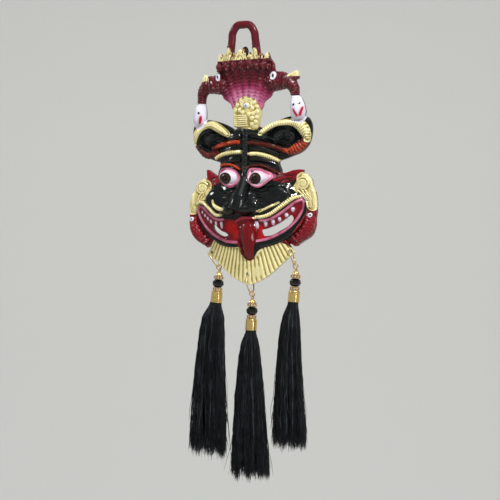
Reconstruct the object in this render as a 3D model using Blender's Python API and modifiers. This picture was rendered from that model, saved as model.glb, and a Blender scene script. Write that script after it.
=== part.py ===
"""Kirtimukha hanging mask: one hollow casting with a hanging loop, and three bead and thread tassels.

The origin is the inside top of the hanging loop. +Z is up, +X is to the right of someone who looks
at the face, and the face looks towards -Y. The flat rim of the casting's back lies on the wall.
All sizes are in metres.
"""
import math

import bmesh
import bpy
from mathutils import Matrix, Vector

# The casting
MASK_DROP = 0.2028          # inside top of the loop down to the tip of the beard
MASK_WIDTH = 0.1130         # across the ear ornaments
MASK_DEPTH = 0.0330         # wall to the tip of the nose
SHELL_WALL = 0.0028         # metal of the hollow face and hood
RIM_WIDTH = 0.0035          # flat rim left around the hollow
LOOP_STAND = 0.0105         # wall to the middle of the loop's rod
LOOP_ROD = 0.0064           # thickness of the loop's rod
LOOP_SPAN = 0.0138          # clear width of the loop
BEARD_SHEET = 0.0030        # thickness of the beard between its ribs
BEARD_RIB = 0.0012          # height of a rib over the sheet
RING_HOLE = 0.0034          # bore of the three holes that take the rings
CAST_GRAIN = 0.0009         # cell of the fused casting
MASK_FACES = 4850           # triangles kept on the fused casting, before it is hollowed

# The tassels
RING_WIRE = 0.0011           # wire of the rings through the beard
LINK_OUTER = 0.0052
LINK_WIRE = 0.0009
PIN_WIRE = 0.0009
PIN_EYE = 0.0036            # outer width of the eye at the pin's top
PIN_HEAD = 0.0030           # flat head that carries the ferrule from inside
CAP_WIDTH = 0.0060
CAP_HEIGHT = 0.0030
RONDELLE_WIDTH = 0.0082
RONDELLE_HEIGHT = 0.0024
BEAD_WIDTH = 0.0094
BEAD_HEIGHT = 0.0064
BEAD_FACETS = 8
FERRULE_WIDTH = 0.0094
FERRULE_HEIGHT = 0.0092
FERRULE_WALL = 0.0007
SKIRT_SIDES = 14
GAP = 0.0003                # clearance between pieces that touch
WALL_GAP = 0.0004           # clearance of the tassels from the wall

# hole: its x and z in mask units; ring: outer width; thread: length of the skirt; spread: its half width.
# bell: how late the skirt widens; bow: how far its middle hangs off its line; drift: how far its end does.
# In degrees: ring_yaw turns the ring's front towards -X; the ring, the link and the hang lean towards +X,
# and out leans the stack to the front.
TASSELS = {
    "left": {
        "hole": (-33.3, -176.5), "ring": 0.0150, "ring_yaw": -5, "ring_lean": 26,
        "link_lean": 54, "hang": -7.5, "out": 1.7, "thread": 0.1195,
        "spread": 0.0159, "bell": 0.37, "bow": -0.0022, "drift": 0.0077,
    },
    "middle": {
        "hole": (0.6, -194.8), "ring": 0.0155, "ring_yaw": -3, "ring_lean": 9,
        "link_lean": 28, "hang": -4.5, "out": 0.0, "thread": 0.1150,
        "spread": 0.0166, "bell": 0.54, "bow": -0.0010, "drift": 0.0057,
    },
    "right": {
        "hole": (34.9, -177.0), "ring": 0.0140, "ring_yaw": -12, "ring_lean": 16,
        "link_lean": 52, "hang": -6.0, "out": 1.7, "thread": 0.1130,
        "spread": 0.0146, "bell": 0.56, "bow": -0.0022, "drift": 0.0072,
    },
}
SKIRT_LEVELS = (0.05, 0.15, 0.3, 0.5, 0.72, 1.0)   # heights of the skirt's rings, as shares of the thread
SKIRT_FLATNESS = 0.35       # how much shallower than wide the skirt's end is

# The face is drawn on a grid of mask units, each about a millimetre at the real size
UNIT_X = MASK_WIDTH / 113.0
UNIT_Z = MASK_DROP / 202.8
UNIT_H = MASK_DEPTH / 33.0
UNIT_R = (UNIT_X * UNIT_Z) ** 0.5
BEHIND = -4.0               # depth behind the wall, in mask units, that the wall plane cuts away

# Stations of the face: z, half width, height on the middle line, height at the edge
FACE = [
    (-77, 9, 7.5, 4), (-84, 22, 9.5, 5), (-98, 26.5, 10.5, 5.5), (-107, 25, 11.5, 5.5), (-114, 27, 13, 5.5),
    (-122, 34.5, 15, 5), (-130, 40, 16.5, 4.5), (-138, 46, 16.5, 4), (-148, 46.5, 15.5, 4),
    (-158, 42, 14, 4.5),
    (-167, 33, 13, 5), (-174, 22, 13, 8), (-180, 8, 13, 10),
]
HOOD = [
    (-22, 21, 11.5, 8), (-30, 24.5, 10.5, 7), (-39, 25.5, 9.5, 6), (-47, 26.5, 9, 5.5), (-53, 21, 8.5, 6),
    (-60, 14, 8, 6), (-68, 11, 8, 6), (-82, 11, 8, 6),
]
HORN_REACH = ((1, 1.02), (-1, 0.945))   # the two horns of the hand-made mask differ a little
HOOD_ROOT = -88.0           # where the flutes of the hood meet
CROWN_KNOB = (0.4, -18.8, 8.6, 3.0, 5.0, 3.0)
# Cobra heads of the crown: x and size
CROWN_COBRAS = (
    (-21.8, 3.0), (-15.2, 3.5), (-8.6, 3.6), (-2.0, 3.7), (4.6, 3.5), (11.0, 3.5), (16.6, 3.1), (20.4, 2.3),
)
# Leaves of the crown: x and z of the foot, x and z of the tip, half width
CROWN_LEAVES = (
    (-20.4, -26, -20.2, -18.9, 2.8), (-12.8, -26, -12.6, -14.9, 3.9), (-1.8, -26, -1.6, -16.5, 5.4),
    (10.1, -26, 10.2, -16.4, 3.8), (20.2, -27, 20.4, -19.7, 2.4), (-16.6, -26, -16.4, -20.4, 1.9),
    (-8.0, -26, -7.8, -19.0, 2.0), (5.2, -26, 5.2, -19.2, 2.0), (15.4, -26.5, 15.3, -20.6, 2.0),
)
# The plate that stands behind each makara's snout, and the white heads that hang from the trunks
MAKARA_TEETH = (
    (1, [(36.4, -38.3), (39.7, -36.0), (43.7, -35.4), (44.1, -41.2), (39.6, -42.4), (36.9, -41.4)]),
    (-1, [(-39.8, -39.3), (-38.6, -36.3), (-36.7, -33.9), (-34.5, -35.7), (-31.7, -39.3), (-36.4, -41.0)]),
)
WHITE_HEADS = (
    [(41.3, -55.4, 4, 3.6), (41.8, -58.4, 4.2, 5.2), (42.6, -63, 4.4, 6.2), (43.4, -68, 4.6, 6.5),
     (43.8, -71.4, 4.8, 5.4), (43.8, -73.6, 4.8, 3.2)],
    [(-41.3, -57.8, 4, 3.6), (-41.6, -60.6, 4.2, 4.9), (-42.0, -65.2, 4.4, 5.6), (-42.6, -69.8, 4.6, 5.8),
     (-42.2, -72.8, 4.8, 4.8), (-41.7, -74.8, 4.8, 3.0)],
)
CREST_OUTLINE = [
    (0, -53.6), (-5, -55.3), (-8.6, -58.7), (-11.2, -62), (-12, -67.4), (-12, -72.2), (-11.6, -77),
    (-5.8, -78.2), (1.5, -78.8), (5.4, -80), (8.5, -79), (9.3, -75.8), (10.2, -71.9), (11.2, -67.2),
    (11.2, -63.5), (9.6, -59.9), (6, -55.9),
]
HORN_RIMS = (
    [(12.4, -83, 9.0, 1.7), (17.8, -79.4, 7.6, 2.2), (23, -77.2, 6.4, 2.4), (29, -76, 5.8, 2.3),
     (36, -75.9, 5.0, 2.6), (42, -77.5, 4.4, 3.6), (46.4, -80.6, 4.0, 4.8), (48.8, -85, 3.6, 3.8),
     (50.2, -89.4, 3.4, 2.0)],
    [(-17, -83.4, 8.6, 1.5), (-22, -80.2, 7.2, 2.6), (-26.6, -77.2, 6.2, 3.0), (-31.4, -75.2, 5.2, 3.1),
     (-37, -75.8, 4.6, 3.1), (-42.2, -78.6, 4.2, 3.6), (-45.8, -83, 3.8, 3.3), (-47.2, -88, 3.6, 2.0)],
)
HORN_LOBES = (
    [(34.6, -98.8, 5.4, 1.7), (38.4, -97.2, 4.6, 3.2), (42.8, -95, 4.0, 3.8), (46.6, -92.2, 3.8, 3.2),
     (49.2, -90, 3.6, 1.8)],
    [(-28.6, -97.6, 5.8, 2.2), (-34.0, -99.2, 4.8, 2.7), (-38.4, -97.8, 4.2, 2.9), (-42.2, -94.4, 3.8, 2.4),
     (-44.6, -91, 3.6, 1.7)],
)
FLUTE_TURN = 8.0            # degrees from one flute to the next
FLUTE_HEIGHT = 0.8
BEARD_CENTRE = (0.0, -120.0)
# Reach of the beard from its centre, at degrees from straight down to the right
BEARD_REACH = [
    (-33, 69.5), (-31, 70.6), (-27, 69.8), (-23, 70.2), (-18, 72.8), (-13.5, 75.6), (-10, 78), (-4, 81),
    (-1.8, 82), (1.5, 83.2), (6, 81.8), (10, 79.9), (14.2, 77.6), (20.7, 73.8), (26.4, 71.2), (30.5, 70.2),
    (33, 69.5),
]
BEARD_TOP = 50.0
BEARD_RIBS = 23
BEARD_CREST = 13.0
BEARD_EDGE = 5.5
# Teeth: x and z of the root, length, radius
TEETH = (
    (9.8, -154.3, 4.6, 1.5), (16.9, -154.2, 3.6, 1.35), (22.9, -153.2, 3.4, 1.3), (28.1, -151.4, 2.6, 1.2),
    (33.6, -148.4, 2.4, 1.3), (38.3, -143.8, 2.4, 1.25), (-41.3, -144.0, 1.8, 0.9), (-38.3, -146.7, 1.9, 0.9),
    (-35.3, -149.0, 2.4, 0.9), (-32.3, -151.6, 2.2, 0.95), (-27.3, -153.0, 2.8, 0.95),
    (-21.9, -153.6, 4.4, 1.1),
)
# Outlines of the openings beside the tongue
MOUTH_SLOTS = (
    ("right", [(14.5, -164.6), (14.2, -160.4), (22, -157.4), (31, -153.4), (36.8, -149.4), (38.8, -150.8),
               (36, -156.4), (28.6, -161.8), (19, -164.8)]),
    ("left", [(-16.3, -163.6), (-18.4, -161.4), (-21.9, -160.2), (-25.4, -157.6), (-28.6, -154.8),
              (-30.4, -155.8), (-29.4, -159.2), (-25.4, -162.4), (-20.4, -164.4)]),
)
FISH_OUTLINES = (
    [(46, -143), (52, -144.4), (56.2, -144.6), (55.4, -151.6), (54.9, -158.4), (51.6, -165.4), (42.8, -170.9),
     (38.1, -173.6), (33.4, -171.1), (28.4, -168.3), (36, -160), (42, -153)],
    [(-43, -144), (-50, -144.6), (-54.2, -145), (-53.6, -153), (-52.6, -160.2), (-47.4, -166.4),
     (-41.7, -170.8), (-38.6, -172.9), (-35.2, -170.2), (-31.4, -165.4), (-35, -160), (-40, -154)],
)
FISH_BODIES = (
    [(51.4, -147.5, 4.0, 3.4), (51.4, -152, 4.2, 4.2), (50.2, -157.6, 4.4, 4.8), (46.4, -163.6, 4.4, 4.8),
     (39.6, -168.8, 4.2, 3.4)],
    [(-50.2, -148, 4.0, 3.2), (-49.8, -153, 4.2, 3.9), (-48.2, -158.6, 4.4, 4.4), (-44.4, -163.8, 4.4, 4.3),
     (-38.6, -168.6, 4.2, 3.4)],
)
FACE_HOLLOW_TOP = -84.0
FACE_HOLLOW_FOOT = -172.0
HOLE_DEPTH = 0.05           # longer than the casting is deep


def remove_everything():
    for item in list(bpy.context.scene.objects):
        bpy.data.objects.remove(item, do_unlink=True)


def collection(name):
    made = bpy.data.collections.new(name)
    bpy.context.scene.collection.children.link(made)
    return made


def material(name, colour, roughness, metallic):
    made = bpy.data.materials.new(name)
    made.use_nodes = True
    shader = made.node_tree.nodes["Principled BSDF"]
    shader.inputs["Base Color"].default_value = (*colour, 1.0)
    shader.inputs["Roughness"].default_value = roughness
    shader.inputs["Metallic"].default_value = metallic
    made.diffuse_color = (*colour, 1.0)
    return made


def at(x, z, h):
    """The point x across and z up in mask units, h mask units in front of the wall."""
    return Vector((x * UNIT_X, LOOP_STAND - h * UNIT_H, z * UNIT_Z))


def station(table, z):
    """Row of a station table at height z, between its two nearest rows."""
    if z >= table[0][0]:
        return table[0][1:]
    for upper, lower in zip(table, table[1:]):
        if z >= lower[0]:
            share = (upper[0] - z) / (upper[0] - lower[0])
            share = share * share * (3 - 2 * share)
            return tuple(a + (b - a) * share for a, b in zip(upper[1:], lower[1:]))
    return table[-1][1:]


def domed(table, x, z, power=2.3):
    """Height over the wall of a domed surface given by its stations."""
    width, crest, edge = station(table, z)
    share = min(1.0, abs(x) / width)
    return edge + (crest - edge) * (1 - share ** power)


def face_height(x, z):
    return domed(FACE, x, z)


def hood_height(x, z):
    fan = math.degrees(math.atan2(x, z - HOOD_ROOT))
    flute = math.cos(math.radians(fan / FLUTE_TURN * 360))
    return domed(HOOD, x, z) + FLUTE_HEIGHT * (0.5 + 0.5 * flute)


def beard_height(x):
    share = min(1.0, abs(x) / 36.0)
    return BEARD_EDGE + (BEARD_CREST - BEARD_EDGE) * (1 - share ** 1.8)


def smooth_path(points, steps=5):
    """Points along a smooth curve through the given points; every component is smoothed alike."""
    padded = [points[0], *points, points[-1]]
    path = []
    for a, b, c, d in zip(padded, padded[1:], padded[2:], padded[3:]):
        for step in range(steps):
            t = step / steps
            path.append(tuple(
                0.5 * (2 * q + (r - p) * t + (2 * p - 5 * q + 4 * r - s) * t * t
                       + (3 * q - p - 3 * r + s) * t ** 3)
                for p, q, r, s in zip(a, b, c, d)))
    path.append(tuple(points[-1]))
    return path


def mesh_object(name, form, group):
    data = bpy.data.meshes.new(name)
    form.to_mesh(data)
    form.free()
    made = bpy.data.objects.new(name, data)
    group.objects.link(made)
    return made


def patch(columns, rows, front, back):
    """Closed body between two surfaces of u and v, each from -1 to 1."""
    form = bmesh.new()
    bmesh.ops.create_grid(form, x_segments=columns, y_segments=rows, size=1.0)
    extruded = bmesh.ops.extrude_face_region(form, geom=list(form.faces))["geom"]
    front_points = {item for item in extruded if isinstance(item, bmesh.types.BMVert)}
    for vert in form.verts:
        surface = front if vert in front_points else back
        vert.co = surface(vert.co.x, vert.co.y)
    bmesh.ops.recalc_face_normals(form, faces=form.faces)
    return form


def rods(strokes, group, sides=2):
    """Closed round rods, each along a list of (x, z, h, radius) in mask units."""
    data = bpy.data.curves.new("rods", "CURVE")
    data.dimensions = "3D"
    data.bevel_depth = 1.0
    data.bevel_resolution = sides
    data.use_fill_caps = True
    for stroke in strokes:
        path = smooth_path(stroke)
        spline = data.splines.new("POLY")
        spline.points.add(len(path) - 1)
        for point, (x, z, h, radius) in zip(spline.points, path):
            point.co = (*at(x, z, h), 1.0)
            point.radius = radius * UNIT_R
    curve = bpy.data.objects.new("rods", data)
    group.objects.link(curve)
    evaluated = curve.evaluated_get(bpy.context.evaluated_depsgraph_get())
    mesh = bpy.data.meshes.new_from_object(evaluated)
    form = bmesh.new()
    form.from_mesh(mesh)
    bmesh.ops.remove_doubles(form, verts=form.verts, dist=0.00001)
    bpy.data.objects.remove(curve, do_unlink=True)
    bpy.data.meshes.remove(mesh)
    return form


def plate(name, outline, low, high, group, softness=1.2):
    """Flat closed plate with rounded edges between the heights low and high, in mask units."""
    data = bpy.data.curves.new(name, "CURVE")
    data.dimensions = "2D"
    data.fill_mode = "BOTH"
    thickness = (high - low) * UNIT_H
    rounding = min(softness * UNIT_R, thickness * 0.45)
    data.bevel_depth = rounding
    data.bevel_resolution = 1
    data.extrude = thickness / 2 - rounding
    data.offset = -rounding
    closed = smooth_path([*outline, outline[0]], 4)[:-1]
    spline = data.splines.new("POLY")
    spline.use_cyclic_u = True
    spline.points.add(len(closed) - 1)
    for point, (x, z) in zip(spline.points, closed):
        point.co = (x * UNIT_X, z * UNIT_Z, 0.0, 1.0)
    curve = bpy.data.objects.new(name, data)
    curve.location = at(0, 0, (low + high) / 2)
    curve.rotation_euler = (math.radians(90), 0, 0)
    group.objects.link(curve)
    bpy.context.view_layer.update()
    evaluated = curve.evaluated_get(bpy.context.evaluated_depsgraph_get())
    mesh = bpy.data.meshes.new_from_object(evaluated)
    form = bmesh.new()
    form.from_mesh(mesh)
    bmesh.ops.transform(form, matrix=curve.matrix_world, verts=form.verts)
    bmesh.ops.remove_doubles(form, verts=form.verts, dist=0.00001)
    bpy.data.objects.remove(curve, do_unlink=True)
    bpy.data.meshes.remove(mesh)
    return form


def ball(x, z, h, across, up, out, turn=0.0, segments=20):
    """Ellipsoid with its half sizes in mask units, turned in the wall's plane by degrees."""
    form = bmesh.new()
    bmesh.ops.create_uvsphere(form, u_segments=segments, v_segments=segments // 2 + 2, radius=1.0)
    size = Matrix.Diagonal((across * UNIT_X, out * UNIT_H, up * UNIT_Z, 1.0))
    turned = Matrix.Rotation(math.radians(turn), 4, "Y")
    bmesh.ops.transform(form, matrix=Matrix.Translation(at(x, z, h)) @ turned @ size, verts=form.verts)
    return form


def both_sides(points):
    """A list of points and the same list on the other side of the face."""
    return [list(points), [(-point[0], *point[1:]) for point in points]]


def lying(points, lift):
    """Stroke on the face: each (x, z, radius) gets the face's height plus lift radii."""
    return [(x, z, face_height(x, z) + lift * radius, radius) for x, z, radius in points]


def face_body():
    def front(u, v):
        z = FACE[0][0] + (FACE[-1][0] - FACE[0][0]) * (1 - v) / 2
        width, _, _ = station(FACE, z)
        return at(u * width, z, face_height(u * width, z))

    def back(u, v):
        z = FACE[0][0] + (FACE[-1][0] - FACE[0][0]) * (1 - v) / 2
        return at(u * station(FACE, z)[0], z, BEHIND)

    return patch(28, 52, front, back)


def hood_body():
    def front(u, v):
        z = HOOD[0][0] + (HOOD[-1][0] - HOOD[0][0]) * (1 - v) / 2
        width = station(HOOD, z)[0]
        return at(u * width, z, hood_height(u * width, z))

    def back(u, v):
        z = HOOD[0][0] + (HOOD[-1][0] - HOOD[0][0]) * (1 - v) / 2
        x = u * station(HOOD, z)[0]
        return at(x, z, domed(HOOD, x, z)) + Vector((0, SHELL_WALL, 0))

    return patch(48, 30, front, back)


def beard_reach(degrees):
    for (a, near), (b, far) in zip(BEARD_REACH, BEARD_REACH[1:]):
        if degrees <= b:
            return near + (far - near) * (degrees - a) / (b - a)
    return BEARD_REACH[-1][1]


def beard_body():
    half_angle = BEARD_REACH[-1][0]

    def flat(u, v):
        degrees = u * half_angle
        reach = BEARD_TOP + (beard_reach(degrees) - BEARD_TOP) * (1 - v) / 2
        turn = math.radians(degrees)
        return BEARD_CENTRE[0] + reach * math.sin(turn), BEARD_CENTRE[1] - reach * math.cos(turn)

    def front(u, v):
        x, z = flat(u, v)
        rib = abs(math.sin(u * BEARD_RIBS * math.pi / 2))
        return at(x, z, beard_height(x)) - Vector((0, BEARD_RIB * rib, 0))

    def back(u, v):
        x, z = flat(u, v)
        return at(x, z, beard_height(x)) + Vector((0, BEARD_SHEET, 0))

    return patch(BEARD_RIBS * 4, 8, front, back)


def loop_stroke():
    """The hanging loop as one rod; its inside top is the origin."""
    half = (LOOP_SPAN + LOOP_ROD) / 2 / UNIT_X
    rod = LOOP_ROD / 2 / UNIT_R
    top = LOOP_ROD / 2 / UNIT_Z
    h = LOOP_STAND / UNIT_H
    right = [(0, top, h, rod), (half * 0.55, top * 0.8, h, rod), (half * 0.93, -3.0, h, rod),
             (half, -8.6, h, rod), (half * 1.12, -18, h, rod), (half * 1.2, -27, h, rod)]
    left = [(-x, z, height, radius) for x, z, height, radius in reversed(right[1:])]
    return left + right


def crown_forms(group):
    """The row of small cobra heads on the hood's top edge, the leaves that stand over it and their knob."""
    band = [(-23.0, -29.4, 8.8, 2.6), (0, -28.6, 9.4, 3.0), (21.4, -30.2, 8.8, 2.6)]
    forms = [ball(*CROWN_KNOB), rods([band], group)]
    for x, size in CROWN_COBRAS:
        z = -27.4 - 0.006 * x * x - 0.035 * x
        forms.append(ball(x, z, 9.8, size, size * 1.15, size * 1.1, segments=14))
    for foot_x, foot, tip_x, tip, width in CROWN_LEAVES:
        middle = (foot_x + tip_x) / 2
        rise = tip - foot
        outline = [
            (foot_x - width, foot), (middle - width * 0.9, foot + rise * 0.55), (tip_x - width * 0.25, tip),
            (tip_x + width * 0.25, tip), (middle + width * 0.9, foot + rise * 0.55), (foot_x + width, foot),
        ]
        forms.append(plate("leaf", outline, 8.4, 10.6 + 0.45 * width, group, 1.6))
    return forms


def serpent_forms(group):
    """The makara heads at the hood's sides, their trunks and the white heads that hang from them."""
    forms = []
    trunk = [(15, -42, 0.0, 4.6), (20, -42.4, 2.6, 6.6), (25, -42.6, 4.4, 7.8), (30.5, -42.6, 4.8, 7.2),
             (36.3, -44.2, 4.2, 5.6), (39.8, -49, 4, 4.4), (40.6, -54, 4, 3.7), (41.2, -60, 4, 3.6)]
    for side, tooth in MAKARA_TEETH:
        forms.append(ball(side * 24.3, -37.5, 8.0, 3.4, 4.0, 3.4))
        forms.append(plate("makara_tooth", tooth, 1.0, 6.6, group, 1.4))
    forms.append(rods([*both_sides(trunk), *WHITE_HEADS], group))
    return forms


def crest_forms(group):
    """The scrolled crest where the hood meets the forehead."""
    forms = [plate("crest", CREST_OUTLINE, 0.0, 8.6, group, 2.4), ball(0, -67, 5.6, 10.4, 12.4, 4.6)]
    forms.append(ball(0, -60.5, 9.6, 3.2, 3.2, 2.0))
    for side in (1, -1):
        forms.append(ball(side * 6.5, -65, 8.8, 3.6, 3.6, 2.2))
        forms.append(ball(side * 7.8, -72, 8.2, 3.2, 3.0, 2.2))
        forms.append(ball(side * 2.8, -73.0, 9.2, 2.6, 2.6, 1.8))
    return forms


def horn_forms(group):
    """The flaring horns: a plate with a gold rim, a black cushion and a ribbed lower lobe."""
    outline = [(9, -83), (17, -77), (27, -72.6), (36, -70.4), (44, -70.4), (50, -72.6), (52.6, -79),
               (52.0, -87),
               (49.2, -94), (43.4, -99.4), (36, -102.2), (29, -104.4), (20, -106), (9, -100)]
    forms = []
    for side, reach in HORN_REACH:
        across = side * reach
        forms.append(plate("horn", [(across * x, z) for x, z in outline], BEHIND, 5.0, group, 2.4))
        forms.append(ball(across * 30.5, -87.0, 3.6, 15.0, 8.0, 4.0, turn=side * 4))
    forms.append(rods([*HORN_RIMS, *HORN_LOBES], group))
    return forms


def brow_forms(group):
    """The ridge of the forehead and the ribbed bands that sweep out from it."""
    ridge = lying([(0, -79, 3.0), (0, -96, 2.8), (0, -112, 2.8), (0, -126, 4.0)], 0.2)
    bands = [
        lying([(4, -84.5, 2.0), (13, -86.5, 2.0), (24, -90.0, 1.6)], 0.35),
        lying([(4, -90.0, 2.0), (13, -90.3, 2.1), (22, -92.4, 2.1), (28, -95.0, 1.8)], 0.5),
        lying([(4, -94.7, 1.7), (14, -95.3, 1.8), (26, -99.2, 1.5)], 0.35),
        lying([(4, -98.9, 1.7), (15, -99.8, 1.8), (26.0, -103.0, 1.5)], 0.6),
        lying([(4, -103.4, 1.8), (14, -103.8, 1.9), (25, -107.6, 1.5)], 0.35),
        lying([(3.4, -109.8, 1.7), (13, -107.7, 1.9), (22, -110.4, 1.8), (27.0, -115.0, 1.4)], 0.7),
    ]
    return [rods([ridge, *[stroke for band in bands for stroke in both_sides(band)]], group)]


def eye_outline(turn, grow=0.0):
    """Edge of the right eye at a turn in degrees: round within, drawn out to a point at the ear side."""
    angle = math.radians(turn)
    outer = max(0.0, math.cos(angle))
    x = 12.6 + (9.6 + grow + 1.6 * outer ** 6) * math.cos(angle)
    z = -118.6 + (7.2 + grow) * math.sin(angle) * (1 - 0.42 * outer ** 2) + 1.6 * outer ** 2
    return x, z


def eye_forms(group):
    """The bulging eyeballs, their rims and the bags below them."""
    forms = []
    for side in (1, -1):
        forms.append(ball(side * 12.4, -118.6, 11.6, 9.8, 7.8, 7.8))
    rim = []
    for turn in range(0, 360, 30):
        x, z = eye_outline(turn)
        rim.append((x, z, face_height(x, z) + 2.2, 1.5))
    rim.append(rim[0])
    bag = lying([(7.5, -129.5, 1.1), (15, -131.2, 1.2), (24, -128.0, 1.2), (31, -122.0, 1.0)], 0.3)
    forms.append(rods([*both_sides(rim), *both_sides(bag)], group))
    return forms


def ear_forms(group):
    """The pointed red ears and the scrolled ornaments that hang from them."""
    leaf = {1: [(24, -121), (33, -122.6), (40, -120.5), (46, -113.6), (38, -113.2), (31, -115), (24, -116)],
            -1: [(24, -121), (32, -123.4), (38, -119.5), (38.5, -110.8), (33, -112.6), (28, -115.4),
                 (23, -117)]}
    ornament = [(42, -115.2), (37.2, -121), (35.6, -126.5), (41.5, -134), (46.8, -137.5), (48.5, -144.6),
                (55.8, -144.8), (56.4, -136.5), (54.6, -128.5), (48.6, -118.2)]
    forms = []
    for side in (1, -1):
        forms.append(plate("ear", [(side * x, z) for x, z in leaf[side]], BEHIND, 5.0, group))
        forms.append(plate("ear_ornament", [(side * x, z) for x, z in ornament], BEHIND, 3.8, group, 1.8))
    spiral = []
    for step in range(11):
        turn = math.radians(-60 + step * 52)
        reach = 6.4 * (1 - step / 13)
        spiral.append((44.6 + reach * math.sin(turn), -124.4 + reach * math.cos(turn), 4.4, 1.1))
    tail = [(38.8, -128.5, 4.0, 1.2), (45, -133, 4.0, 1.3), (50.6, -138, 4.0, 1.3), (51.6, -143.4, 4.0, 1.2)]
    edge = [(48.6, -121, 3.6, 1.1), (52.4, -128.5, 3.6, 1.2), (54.2, -136, 3.6, 1.2), (54, -142.6, 3.6, 1.1)]
    forms.append(rods([*both_sides(spiral), *both_sides(tail), *both_sides(edge)], group))
    return forms


def nose_forms(group):
    """The hooked nose with its broad bulb and wing, the cheeks and the ribbed moustache."""
    hook = [(0, -115, 12, 3.6), (-0.6, -126, 17, 5.6), (-1.6, -135, 21.5, 7.4), (-3, -141, 24.2, 7.8),
            (-4, -145, 25.2, 7.0)]
    forms = [rods([hook], group)]
    forms.append(ball(-1, -137, 13.4, 13.5, 12.5, 7.6))
    forms.append(ball(7.4, -141.6, 17.6, 7.4, 6.4, 6.8))
    forms.append(ball(-11.0, -142.4, 17.6, 6.2, 6.0, 6.0))
    for side in (1, -1):
        forms.append(ball(side * 21, -134.5, 10.4, 16, 10.5, 6.2))
    moustache = lying([(13, -145.6, 1.2), (19, -143.4, 1.8), (25.6, -139.4, 1.6), (29.6, -135.8, 0.9)], 1.0)
    forms.append(rods(both_sides(moustache), group))
    return forms


def mouth_forms(group):
    """The gold lip line, the lips, the jaw band, the teeth and the lining beside the tongue."""
    gold_line = [(43.6, -134.2, 1.5), (38, -137.6, 1.6), (31, -143.6, 1.6), (22, -148.4, 1.6),
                 (8, -150.4, 1.5)]
    upper_lip = [(45.4, -138.2, 1.5), (39, -141.2, 1.5), (31, -147.2, 1.6), (20.5, -151.6, 1.6),
                 (6, -153.2, 1.6)]
    lower_lip = [(45.6, -138.6, 1.4), (45.6, -144.5, 1.5), (41.4, -152, 1.5), (34.6, -159.4, 1.6),
                 (23.5, -165.4, 1.6), (6, -168.6, 1.6)]
    jaw_band = [(46.2, -143, 1.8), (43.6, -153.5, 2.2), (37.2, -161.5, 2.6), (28, -168.0, 2.8),
                (15, -172.2, 3.0),
                (3, -173.4, 3.4)]
    strokes = [lying(gold_line, 0.7), lying(upper_lip, 0.4), lying(lower_lip, 0.4), lying(jaw_band, 0.2)]
    forms = [rods([stroke for line in strokes for stroke in both_sides(line)], group)]
    teeth = []
    for x, z, length, radius in TEETH:
        h = face_height(x, z) - 0.6
        tip = z - length
        teeth.append([(x, z, h, radius), (x, z - length * 0.6, h, radius), (x, tip, h - 0.4, radius * 0.7)])
    forms.append(rods(teeth, group))
    forms.append(ball(0, -161, 10, 14.6, 7.2, 6.6))
    return forms


def tongue_forms(group):
    """The lolling tongue over the jaw, and the black chin beside its tip."""
    tongue = [(0.6, -155, 9, 6.4), (1.0, -160, 12, 7.6), (1.8, -168, 13, 7.2), (2.2, -175, 13, 6.2),
              (2.3, -180.5, 13, 3.8), (2.4, -183.4, 12.6, 1.8)]
    chin = [(5, -170, 10.5, 4.8), (6.6, -175, 11, 4.6), (6.2, -180, 11.4, 3.0), (4.4, -183.4, 11.6, 1.4)]
    return [rods([tongue, chin], group)]


def fish_forms(group):
    """The fish that grip the jaw from both sides."""
    forms = [plate("fish", outline, BEHIND, 4.6, group, 1.8) for outline in FISH_OUTLINES]
    forms.append(rods(FISH_BODIES, group))
    return forms


def fuse(name, forms, group):
    """One casting from many overlapping forms, with its small hollows run together."""
    whole = bmesh.new()
    for form in forms:
        data = bpy.data.meshes.new("form")
        form.to_mesh(data)
        form.free()
        whole.from_mesh(data)
        bpy.data.meshes.remove(data)
    raw = mesh_object(name, whole, group)
    remesh = raw.modifiers.new("fuse", "REMESH")
    remesh.mode = "VOXEL"
    remesh.voxel_size = CAST_GRAIN
    soften = raw.modifiers.new("soften", "SMOOTH")
    soften.factor = 0.5
    soften.iterations = 2
    evaluated = raw.evaluated_get(bpy.context.evaluated_depsgraph_get())
    fused = bpy.data.meshes.new_from_object(evaluated)
    full = sum(len(face.vertices) - 2 for face in fused.polygons)
    bpy.data.objects.remove(raw, do_unlink=True)
    made = bpy.data.objects.new(name, fused)
    group.objects.link(made)
    lighten = made.modifiers.new("lighten", "DECIMATE")
    lighten.ratio = min(1.0, MASK_FACES / full)
    return made


def hollow(table, low_z, high_z, columns, rows):
    """Cutter that leaves the wall thickness behind a domed surface and a flat rim around the hollow."""
    rim = RIM_WIDTH / UNIT_X
    wall = SHELL_WALL / UNIT_H

    def inner(u, v):
        z = high_z + (low_z - high_z) * (1 - v) / 2
        width = max(1.0, station(table, z)[0] - rim)
        x = u * width
        return at(x, z, max(0.4, domed(table, x, z) - wall))

    def outer(u, v):
        z = high_z + (low_z - high_z) * (1 - v) / 2
        return at(u * max(1.0, station(table, z)[0] - rim), z, BEHIND * 2)

    return patch(columns, rows, inner, outer)


def cutter(name, form, group):
    made = mesh_object(name, form, group)
    made.hide_render = True
    made.display_type = "WIRE"
    return made


def cut(target, tool):
    change = target.modifiers.new(tool.name, "BOOLEAN")
    change.operation = "DIFFERENCE"
    change.solver = "EXACT"
    change.object = tool


def block(low, high):
    form = bmesh.new()
    bmesh.ops.create_cube(form, size=1.0)
    middle = (low + high) / 2
    size = high - low
    matrix = Matrix.Translation(middle) @ Matrix.Diagonal((abs(size.x), abs(size.y), abs(size.z), 1.0))
    bmesh.ops.transform(form, matrix=matrix, verts=form.verts)
    return form


def hole_cutter(x, z, width):
    form = bmesh.new()
    bmesh.ops.create_cone(form, cap_ends=True, segments=14, radius1=width / 2, radius2=width / 2,
                          depth=HOLE_DEPTH)
    matrix = Matrix.Translation(at(x, z, 10)) @ Matrix.Rotation(math.radians(90), 4, "X")
    bmesh.ops.transform(form, matrix=matrix, verts=form.verts)
    return form


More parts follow.
